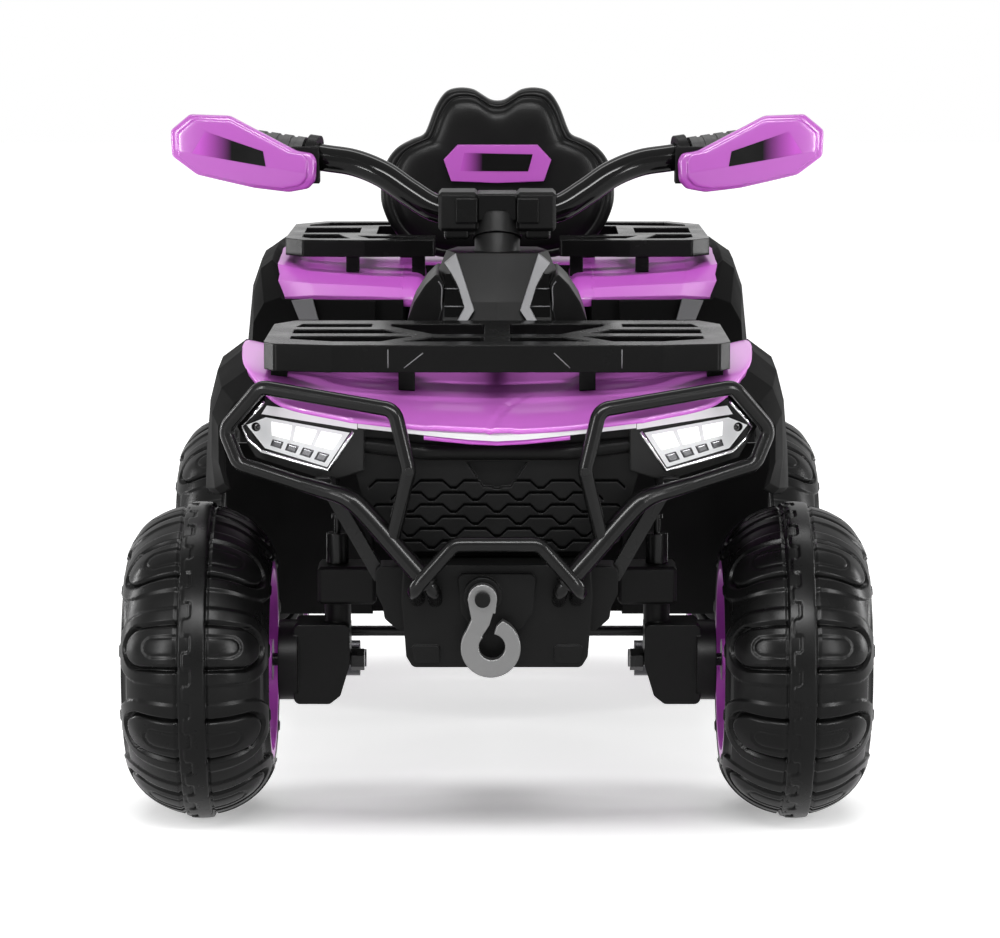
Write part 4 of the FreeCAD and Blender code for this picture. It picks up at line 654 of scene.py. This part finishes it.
def between(top, bottom, count, gap):
    """Cuts a quad given by its top and bottom edges into side-by-side quads with a gap between them."""
    (a, b), (d, c) = np.array(top, float), np.array(bottom, float)
    cells = []
    for k in range(count):
        s, e = (k + gap) / count, (k + 1 - gap) / count
        cells.append([a + (b - a) * s, a + (b - a) * e, d + (c - d) * e, d + (c - d) * s])
    return cells


# %% Cells and reflectors
CELL_ROW_MM = ([(138, 384.6), (209, 393.4)], [(149, 367.5), (208, 378.5)])
REFLECTOR_ROW_MM = ([(150, 365.5), (207.5, 377)], [(156, 355.6), (210, 369.3)])
finish["lamp_clear"] = glowing("lamp_clear", (0.52, 0.53, 0.54), 0.22, 0.15)
finish["lamp_strip"] = glowing("lamp_strip", (0.55, 0.55, 0.56), 0.14)
for name in ("headlight_lenses", "light_bar"):
    paint(name, finish[slot_of[name]])
lit = glowing("lamp_cell", (0.85, 0.85, 0.85), 0.85)
mirror_grey = moulded("lamp_reflector", (0.10, 0.10, 0.105), 0.2, metal=0.6, edge=0)
socket_black = moulded("lamp_socket", (0.006, 0.006, 0.006), 0.15, edge=0)
cells = between(*CELL_ROW_MM, 3, 0.012)
reflectors = between(*REFLECTOR_ROW_MM, 4, 0.04)
lamp_rows = (("cell", cells, lit, 0.0025), ("reflector", reflectors, mirror_grey, 0.0015))
for word, side in SIDES:
    for kind, row, look, crown in lamp_rows:
        for k, corners_mm in enumerate(row):
            name = "lamp_%s_%s_%d" % (kind, word, k + 1)
            patch = grid_piece(name, lamp_patch(side, corners_mm, crown), flip=side < 0)
            dress(patch, look, "chassis", "lamp_clear")
print("lamps:", 2 * (len(cells) + len(reflectors)), "pillows")


# %% Bezel and socket
def round_bar(path, radius, sides=14):
    """Tube round a polyline: a ring at each corner, square to the mean of its two directions.

    The radius is one value, or one for each corner.
    """
    path = np.asarray(path, float)
    run = np.gradient(path, axis=0)
    run /= np.linalg.norm(run, axis=1, keepdims=True)
    up = np.where(np.abs(run[:, 2:]) < 0.9, [[0, 0, 1.0]], [[1.0, 0, 0]])
    first = np.cross(run, up)
    first /= np.linalg.norm(first, axis=1, keepdims=True)
    second = np.cross(run, first)
    turn = np.linspace(0, 2 * np.pi, sides, endpoint=False)
    ring = np.cos(turn)[None, :, None] * first[:, None] + np.sin(turn)[None, :, None] * second[:, None]
    return path[:, None] + np.reshape(radius, (-1, 1, 1)) * ring


BEZEL_MM = [(130.5, 387), (142, 369), (154, 350.5), (185, 357), (216, 364), (228.5, 374), (234, 386),
            (224, 398), (213, 410.5)]
BEZEL_R, BEZEL_LIFT = 0.0016, 0.0005
SOCKET_MM, SOCKET_STEPS = (221.3, 386.2), 32
SOCKET_RINGS = [(0.05, 0.0014), (3.6, 0.0014), (4.6, -0.0006)]
chrome = moulded("lamp_chrome", (0.62, 0.62, 0.63), 0.16, metal=0.9, edge=0)
socket_turn = np.linspace(0, 2 * np.pi, SOCKET_STEPS, endpoint=False)
spokes = np.stack([np.cos(socket_turn), np.sin(socket_turn)], axis=-1)
for word, side in SIDES:
    bezel = round_bar(on_lamp(side, np.array(BEZEL_MM) / 1000, BEZEL_LIFT), BEZEL_R)
    dress(grid_piece("lamp_bezel_" + word, bezel, wrap_v=True), chrome, "chassis", "lamp_clear")
    rings = [on_lamp(side, (np.array(SOCKET_MM) + r * spokes) / 1000, lift) for r, lift in SOCKET_RINGS]
    socket = grid_piece("lamp_socket_" + word, np.stack(rings), wrap_v=True, flip=side > 0)
    dress(socket, socket_black, "chassis", "lamp_clear")
print("lamps: two bezels and sockets")

# %% [markdown]
# ## Seat and backrest
#
# The seat is a stuffed cushion: its cover is drawn in at the base and swells between two sewn channels. That
# is what a cloth solver does well, so a copy of the solid is remeshed to an even net, blown up a little from
# inside without gravity, and the result is kept within a few millimetres of the solid. The base stays flat
# where it rests on the tub.

# %% Cushion leather
leather = moulded("seat_leather", SOOT, 0.34, grain=0.15, grain_size=420, edge=0, vary=0.04, shine=0.09)
finish["seat_leather"] = leather


def baked(piece):
    """Mesh of a piece with its modifiers worked in."""
    return bpy.data.meshes.new_from_object(piece.evaluated_get(bpy.context.evaluated_depsgraph_get()))


def points_of(mesh):
    """Vertex places as an (n, 3) array."""
    flat = np.empty(len(mesh.vertices) * 3)
    mesh.vertices.foreach_get("co", flat)
    return flat.reshape(-1, 3)


# %% Cushion
SEAT_NET = 0.0055
SEAT_CAP = 0.006
SEAT_DRAWN_IN = (0.03, 0.02, 0)
SEAT_PRESSURE, SEAT_FRAMES = 4, 20
SEAT_FLAT, SEAT_FREE = 0.001, 0.012
cushion = bpy.data.objects.new("seat_cushion", nodes["seat"].data.copy())
scene.collection.objects.link(cushion)
net = cushion.modifiers.new("net", "REMESH")
net.mode = "VOXEL"
net.voxel_size = SEAT_NET
cushion.data = baked(cushion)
cushion.modifiers.clear()
rest = points_of(cushion.data)
base, middle = rest[:, 2].min(), rest.mean(axis=0)
small = rest + (middle - rest) * SEAT_DRAWN_IN
cushion.data.vertices.foreach_set("co", small.reshape(-1))
cloth = cushion.modifiers.new("cloth", "CLOTH")
cloth.settings.use_pressure = True
cloth.settings.uniform_pressure_force = SEAT_PRESSURE
cloth.settings.effector_weights.gravity = 0
cloth.point_cache.frame_end = SEAT_FRAMES
for frame_number in range(1, SEAT_FRAMES + 1):
    scene.frame_set(frame_number)
blown = points_of(baked(cushion))
cushion.modifiers.clear()
move = blown - small
size = np.linalg.norm(move, axis=1, keepdims=True)
move = move * np.minimum(1, SEAT_CAP / np.maximum(size, 1e-9))
firm = ramp(rest[:, 2:] - base, SEAT_FLAT, SEAT_FREE)
cushion.data.vertices.foreach_set("co", (small + move * firm).reshape(-1))
scene.frame_set(1)
cushion.data.update()
cushion.data.materials.clear()
cushion.data.polygons.foreach_set("use_smooth", np.ones(len(cushion.data.polygons), dtype=bool))
soft = cushion.modifiers.new("soft", "SUBSURF")
soft.levels = soft.render_levels = 1
dress(cushion, leather, "chassis", "seat_leather", "seat")
print("cushion:", len(rest), "points")

# %% [markdown]
# The backrest is a firm foam pad in a tight cover. Seen from the front it has two lobes on top, wide
# shoulders below and a round rim with a faint crease inside it. Nothing sags, so there is no need for a
# solver: one smooth closed outline is drawn in and moved forwards ring by ring, from the middle of the back,
# round the edge and over the rim to the middle of the front.

# %% Backrest
BACK_HALF_MM = [(0, 643), (8, 644.5), (17, 650), (27, 655.6), (42, 657), (56, 652.5), (67, 637), (76, 614),
                (81, 606), (93, 601), (109, 592), (120, 578), (125.5, 560), (127, 545), (125.5, 529),
                (117, 508), (105, 492.5), (89, 481.5), (73, 475.5), (50, 472), (0, 471)]
BACK_RINGS = [(0.001, 0.3260), (0.5, 0.3260), (0.90, 0.3255), (0.965, 0.3225), (0.995, 0.3150), (1.0, 0.3070),
              (0.992, 0.3000), (0.972, 0.2962), (0.946, 0.2944), (0.922, 0.2940), (0.906, 0.2945),
              (0.892, 0.2937), (0.868, 0.2912), (0.82, 0.2885), (0.70, 0.2864), (0.40, 0.2854),
              (0.001, 0.2850)]
BACK_MIDDLE = np.array([0, 0.566])
BACK_STEPS = 200
OUTLINE_FINE, OUTLINE_LEAD, RING_FINE = 16, 3, 4


def closed_curve(half_mm, count):
    """Smooth closed outline from a half outline that starts and ends on the centre line, in even steps."""
    half = np.array(half_mm, float) / 1000
    loop = np.concatenate([half, half[-2:0:-1] * [-1, 1]])
    ring = np.concatenate([loop[-OUTLINE_LEAD:], loop, loop[:OUTLINE_LEAD]])
    fine = through(ring, (len(ring) - 1) * OUTLINE_FINE + 1)
    fine = fine[OUTLINE_LEAD * OUTLINE_FINE:(OUTLINE_LEAD + len(loop)) * OUTLINE_FINE]
    run = np.concatenate([[0], np.cumsum(np.linalg.norm(np.diff(fine, axis=0, append=fine[:1]), axis=1))])
    fine = np.concatenate([fine, fine[:1]])
    even = np.linspace(0, run[-1], count, endpoint=False)
    return np.stack([np.interp(even, run, fine[:, 0]), np.interp(even, run, fine[:, 1])], axis=-1)


def ringed(outline, rings, middle):
    """Rings (share of the outline, y) about a middle, smoothed along, as a grid of points."""
    steps = through(np.array(rings), (len(rings) - 1) * RING_FINE + 1)
    flat = middle + (outline[None] - middle) * steps[:, None, :1]
    depth = np.broadcast_to(steps[:, 1, None, None], flat[..., :1].shape)
    return np.concatenate([flat[..., :1], depth, flat[..., 1:]], axis=-1)


pad_points = ringed(closed_curve(BACK_HALF_MM, BACK_STEPS), BACK_RINGS, BACK_MIDDLE)
pad = grid_piece("backrest_pad", pad_points, wrap_v=True)
dress(pad, leather, "chassis", "seat_leather", "backrest")
print("backrest:", pad_points.shape[0] * pad_points.shape[1], "points")

# %% Post of the backrest
POST_LOW, POST_HIGH, POST_EDGE = (-0.048, 0.296, 0.4645), (0.048, 0.320, 0.500), 0.003


def box_piece(name, low, high, edge):
    """Box between two corners with a live Bevel of the given width."""
    low, high = np.array(low), np.array(high)
    pick = np.array([[0, 0, 0], [1, 0, 0], [1, 1, 0], [0, 1, 0], [0, 0, 1], [1, 0, 1], [1, 1, 1], [0, 1, 1]])
    faces = [(3, 2, 1, 0), (4, 5, 6, 7), (0, 1, 5, 4), (1, 2, 6, 5), (2, 3, 7, 6), (3, 0, 4, 7)]
    mesh = bpy.data.meshes.new(name)
    mesh.from_pydata((low + pick * (high - low)).tolist(), [], faces)
    piece = bpy.data.objects.new(name, mesh)
    scene.collection.objects.link(piece)
    rounding = piece.modifiers.new("edge", "BEVEL")
    rounding.width = edge
    rounding.segments = 3
    return piece


post = box_piece("backrest_post", POST_LOW, POST_HIGH, POST_EDGE)
dress(post, finish["black_plastic"], "chassis", "black_plastic")
print("post:", len(post.data.polygons), "faces before its bevel")

# %% [markdown]
# ## Handlebar and bull bar
#
# The solid handlebar has straight runs with short bends between them. A drawn steel tube bends in long easy
# curves, so the shown bar is swept along a smooth curve through points of the same centre line, and its ends
# narrow to a point. Its clamp gets a bridge over the bar, a raised plate on each half and a small wing below.
# The bull bar's two slanting tubes look thicker than the rest of it, so each gets a sleeve that swells along
# the tube.

# %% Handlebar
BAR_HALF_MM = [(0, -152, 561), (32, -152, 561), (60, -151, 565), (86, -145, 580), (112, -137.5, 597),
               (140, -128, 607.5), (172, -120, 612), (240, -105.7, 621.2), (305, -92, 630)]
BAR_R, BAR_STEPS, BAR_SIDES = 0.0133, 161, 40
TIP_R, TIP_STEP = 1e-4, 2e-4
bar_half = np.array(BAR_HALF_MM) / 1000
bar_path = through(np.concatenate([bar_half[:0:-1] * [-1, 1, 1], bar_half]), BAR_STEPS)
tip_step = np.array([TIP_STEP, 0, 0])
bar_path = np.concatenate([bar_path[:1] - tip_step, bar_path, bar_path[-1:] + tip_step])
bar_size = np.full(len(bar_path), BAR_R)
bar_size[[0, -1]] = TIP_R
bar = grid_piece("handlebar_tube", round_bar(bar_path, bar_size, BAR_SIDES), wrap_v=True)
dress(bar, finish["black_tube"], "steering", "black_tube", "handlebar")
print("handlebar:", len(bar_path), "rings")

# %% Clamp details
BRIDGE_LOW, BRIDGE_HIGH, BRIDGE_EDGE = (-0.0195, -0.182, 0.5545), (0.0195, -0.136, 0.5815), 0.002
CLAMP_PAIRS = {
    "clamp_plate": ((0.0190, -0.1868, 0.5530), (0.0405, -0.183, 0.5775), 0.0012),
    "clamp_wing": ((0.0270, -0.180, 0.5365), (0.0515, -0.140, 0.5500), 0.003)}
bridge = box_piece("clamp_bridge", BRIDGE_LOW, BRIDGE_HIGH, BRIDGE_EDGE)
dress(bridge, finish["black_gloss"], "steering", "black_gloss")
for name, (low, high, edge) in CLAMP_PAIRS.items():
    for word, side in SIDES:
        near, far = sorted((side * low[0], side * high[0]))
        piece = box_piece(name + "_" + word, (near, *low[1:]), (far, *high[1:]), edge)
        dress(piece, finish["black_gloss"], "steering", "black_gloss")
print("clamp:", 1 + 2 * len(CLAMP_PAIRS), "details")

# %% Sleeves of the bull bar
SLEEVE_MM = [(182, -466, 342.5), (155, -474, 336), (134, -480.5, 329.5), (119, -485, 317.5),
             (88, -495, 283.5), (58, -504.7, 251)]
SLEEVE_SHARE, SLEEVE_R_MM = (0, 0.25, 0.45, 1), (6.6, 7.6, 9.4, 9.4)
SLEEVE_STEPS, SLEEVE_SIDES = 61, 28
sleeve_size = np.interp(np.linspace(0, 1, SLEEVE_STEPS), SLEEVE_SHARE, SLEEVE_R_MM) / 1000
sleeve_size[[0, -1]] = TIP_R
for word, side in SIDES:
    sleeve_path = through(np.array(SLEEVE_MM) * [side, 1, 1] / 1000, SLEEVE_STEPS)
    sleeve = grid_piece("bull_sleeve_" + word, round_bar(sleeve_path, sleeve_size, SLEEVE_SIDES), wrap_v=True)
    dress(sleeve, bull_black, "chassis", "black_tube")
print("sleeves:", SLEEVE_STEPS, "rings each")

# %% [markdown]
# ## Hand guards and inset panels
#
# Each hand guard is a shell with a stepped rim: rings of one outline, set at different depths, folded at a
# ridge and swept back at the outer end. The guards and the badge on the backrest carry dark inset panels that
# fade out at one end. The fade is a colour ramp along the panel's own X direction, so it needs no picture.


# %% Fading finish
def fading(name, dark_x, pale_x, pale):
    """Black gloss at dark_x that turns into the pale colour at pale_x (object X in metres)."""
    material = moulded(name, (0.01, 0.01, 0.01), 0.22, edge=0, shine=0.12)
    tree = material.node_tree
    place = tree.nodes.new("ShaderNodeTexCoord")
    split = tree.nodes.new("ShaderNodeSeparateXYZ")
    span = tree.nodes.new("ShaderNodeMapRange")
    span.inputs["From Min"].default_value = dark_x
    span.inputs["From Max"].default_value = pale_x
    blend = tree.nodes.new("ShaderNodeValToRGB")
    blend.color_ramp.elements[0].color = (*SOOT, 1)
    blend.color_ramp.elements[1].color = (*pale, 1)
    tree.links.new(place.outputs["Object"], split.inputs[0])
    tree.links.new(split.outputs["X"], span.inputs["Value"])
    tree.links.new(span.outputs["Result"], blend.inputs["Fac"])
    tree.links.new(blend.outputs["Color"], tree.nodes["Principled BSDF"].inputs["Base Color"])
    return material


# %% Guard surfaces
GUARD_MM = [(299.5, 655.7), (318.5, 640), (317.5, 615), (293, 597), (237, 584.5), (203, 580.5), (184, 584),
            (177, 592), (176, 611), (180, 618), (195, 620.5), (260, 654.6)]
GUARD_RINGS = [(0.001, -0.1460), (0.80, -0.1460), (0.97, -0.1465), (1.0, -0.1490), (1.0, -0.1535),
               (0.975, -0.1568), (0.935, -0.1578), (0.90, -0.1582), (0.885, -0.1598), (0.86, -0.1606),
               (0.70, -0.1608), (0.55, -0.1608), (0.40, -0.1608), (0.25, -0.1608), (0.12, -0.1608),
               (0.001, -0.1608)]
GUARD_MIDDLE, GUARD_STEPS = np.array([0.255, 0.616]), 240
GUARD_RIDGE_MM, RIDGE_SLOPE = [(225, 606.2), (297, 618.7)], 0.13
SWEEP_X, SWEEP_LONG, SWEEP_BACK = 0.235, 0.085, 0.012


def flat_patch(corners_mm, y, side=1, steps=12):
    """Bilinear quad in the plane y, seen from the front."""
    u, _, flat = bilinear(corners_mm, steps)
    return np.stack([side * flat[..., 0], np.full_like(u, y), flat[..., 1]], axis=-1)


def even_loop(points_mm, count, easing=3):
    """Closed polygon cut into equal steps; each easing replaces a point by (left + 2 point + right) / 4."""
    loop = np.array(points_mm + points_mm[:1], float) / 1000
    run = np.concatenate([[0], np.cumsum(np.linalg.norm(np.diff(loop, axis=0), axis=1))])
    even = np.linspace(0, run[-1], count, endpoint=False)
    ring = np.stack([np.interp(even, run, loop[:, 0]), np.interp(even, run, loop[:, 1])], axis=-1)
    for _ in range(easing):
        ring = (np.roll(ring, 1, axis=0) + 2 * ring + np.roll(ring, -1, axis=0)) / 4
    return ring


def swept_back(points):
    """Moves points back by sweep t^2 + slope |d|.

    t runs from 0 to 1 towards the outer end, and d is the distance from a ridge along the panel's lower edge.
    """
    x, z = np.abs(points[..., 0]), points[..., 2]
    t = np.clip((x - SWEEP_X) / SWEEP_LONG, 0, 1)
    (x0, z0), (x1, z1) = np.array(GUARD_RIDGE_MM) / 1000
    d = ((z - z0) * (x1 - x0) - (x - x0) * (z1 - z0)) / math.hypot(x1 - x0, z1 - z0)
    return points + np.stack([0 * t, SWEEP_BACK * t * t + RIDGE_SLOPE * np.abs(d), 0 * t], axis=-1)


# %% Guards and badge
GUARD_PANEL_MM, GUARD_PANEL_Y = [(227.6, 620.8), (283.7, 639.9), (297, 618.7), (225, 606.2)], -0.1612
GUARD_FADE_X = (0.258, 0.290)
BADGE_PANEL_MM, BADGE_PANEL_Y = [(-36, 588.5), (38, 587), (33, 568.5), (-40, 569)], 0.2755
BADGE_FADE_X = (-0.016, -0.038)
# The guards' orchid is darker than the other purple parts: painted shade for the shaded look of their faces.
guard_orchid_painted_shade = moulded("guard_orchid_painted_shade", (0.42, 0.08, 0.45), 0.22, grain=0.02, grain_size=320, edge=0,
                       shine=0.5, coat=0.1, vary=0.02)
guard_points = swept_back(ringed(even_loop(GUARD_MM, GUARD_STEPS), GUARD_RINGS, GUARD_MIDDLE))
for word, side in SIDES:
    guard = grid_piece("guard_shell_" + word, guard_points * [side, 1, 1], wrap_v=True, flip=side < 0)
    dress(guard, guard_orchid_painted_shade, "steering", "purple_gloss", "hand_guard_" + word)
    look = fading("guard_fade_" + word, side * GUARD_FADE_X[0], side * GUARD_FADE_X[1], ORCHID)
    panel_points = swept_back(flat_patch(GUARD_PANEL_MM, GUARD_PANEL_Y, side))
    dress(grid_piece("guard_panel_" + word, panel_points, flip=side < 0), look, "steering", "black_gloss")
badge = grid_piece("badge_panel", flat_patch(BADGE_PANEL_MM, BADGE_PANEL_Y))
dress(badge, fading("badge_fade", *BADGE_FADE_X, ORCHID), "chassis", "black_gloss")
print("panels: two guards with insets, and a badge inset")

# %% [markdown]
# The column cover has a dark glossy window beside each silver trim, crossed by two thin ribs, and a bright
# edge where its cheek begins, drawn as a thin silver bar that is a painted highlight. The front rack is
# moulded in sections; thin silver lines on its front face are painted highlights along the seams.

# %% Cover windows, painted highlights on the cheek edges and rack seams
COVER_POINT_MM, COVER_SLOPE = (31.9, -227.9, 476.8), (0.075, 0.53)
WINDOW_INNER_MM = [(45.5, 506.5), (40.3, 498), (35.8, 488), (32, 477.3), (36.5, 467)]
WINDOW_OUTER_MM = [(50.2, 506.5), (50.4, 498), (50.6, 488), (50.7, 477.3), (50.8, 467)]
WINDOW_STEPS, WINDOW_LIFT = 9, 0.5
RIBS_MM, RIB_LIFT, RIB_R = [[(37, 493), (50.5, 493)], [(32, 476.8), (50.7, 476.8)]], 0.7, 0.0006
CHEEK_EDGE_MM = [(56.5, -222.4, 500.5), (53.2, -222.4, 494), (53.6, -222.4, 478), (52, -222.4, 466)]
CHEEK_STEPS, LINE_STEPS, LINE_SIDES = 25, 5, 12
SEAMS_MM = [[(-84.4, 445.1), (-67.1, 458.8)], [(66.2, 445.1), (51.7, 458.8)], [(-98.9, 445), (-98.9, 462)],
            [(113.3, 445), (113.3, 462)]]
RACK_FACE, SEAM_R = -452.2, 0.0005


def on_cover(points_mm, lift):
    """Points (x, z) in mm on the cover's sloping front, y = y0 + a (x - x0) + b (z - z0), less a lift."""
    x, z = points_mm[..., 0], points_mm[..., 1]
    x0, y0, z0 = COVER_POINT_MM
    y = y0 + COVER_SLOPE[0] * (x - x0) + COVER_SLOPE[1] * (z - z0)
    return np.stack([x, y - lift, z], axis=-1) / 1000


def bright_line(name, path, radius):
    """Thin silver bar along a path on the body; on the cheek edges and rack seams it is a painted highlight.
    """
    bar = grid_piece(name, round_bar(path, radius, LINE_SIDES), wrap_v=True)
    dress(bar, finish["silver_trim"], "chassis", "silver_trim")


window_black = moulded("window_black", (0.002, 0.002, 0.002), 0.12, edge=0, shine=0.05)
across = np.linspace(0, 1, WINDOW_STEPS)[:, None, None]
window = np.array(WINDOW_INNER_MM) + across * (np.array(WINDOW_OUTER_MM) - WINDOW_INNER_MM)
window = on_cover(window, WINDOW_LIFT)
cheek_highlight = through(np.array(CHEEK_EDGE_MM), CHEEK_STEPS) / 1000
for word, side in SIDES:
    mirror = np.array([side, 1, 1])
    pane = grid_piece("cover_window_" + word, window * mirror, flip=side > 0)
    dress(pane, window_black, "chassis", "black_gloss")
    for k, rib_mm in enumerate(RIBS_MM):
        rib = on_cover(np.linspace(*np.array(rib_mm), LINE_STEPS), RIB_LIFT)
        bright_line(f"cover_rib_{word}_{k}", rib * mirror, RIB_R)
    # The cheek's bright edge is a painted highlight: a silver bar along it.
    bright_line("cheek_highlight_" + word, cheek_highlight * mirror, RIB_R)
# Each rack seam is a silver bar, a painted highlight along the seam.
for k, ((x0, z0), (x1, z1)) in enumerate(SEAMS_MM):
    seam = np.linspace((x0, RACK_FACE, z0), (x1, RACK_FACE, z1), LINE_STEPS) / 1000
    bright_line(f"rack_seam_highlight_{k}", seam, SEAM_R)
print("cover: windows, ribs and cheek edges; rack:", len(SEAMS_MM), "seams")
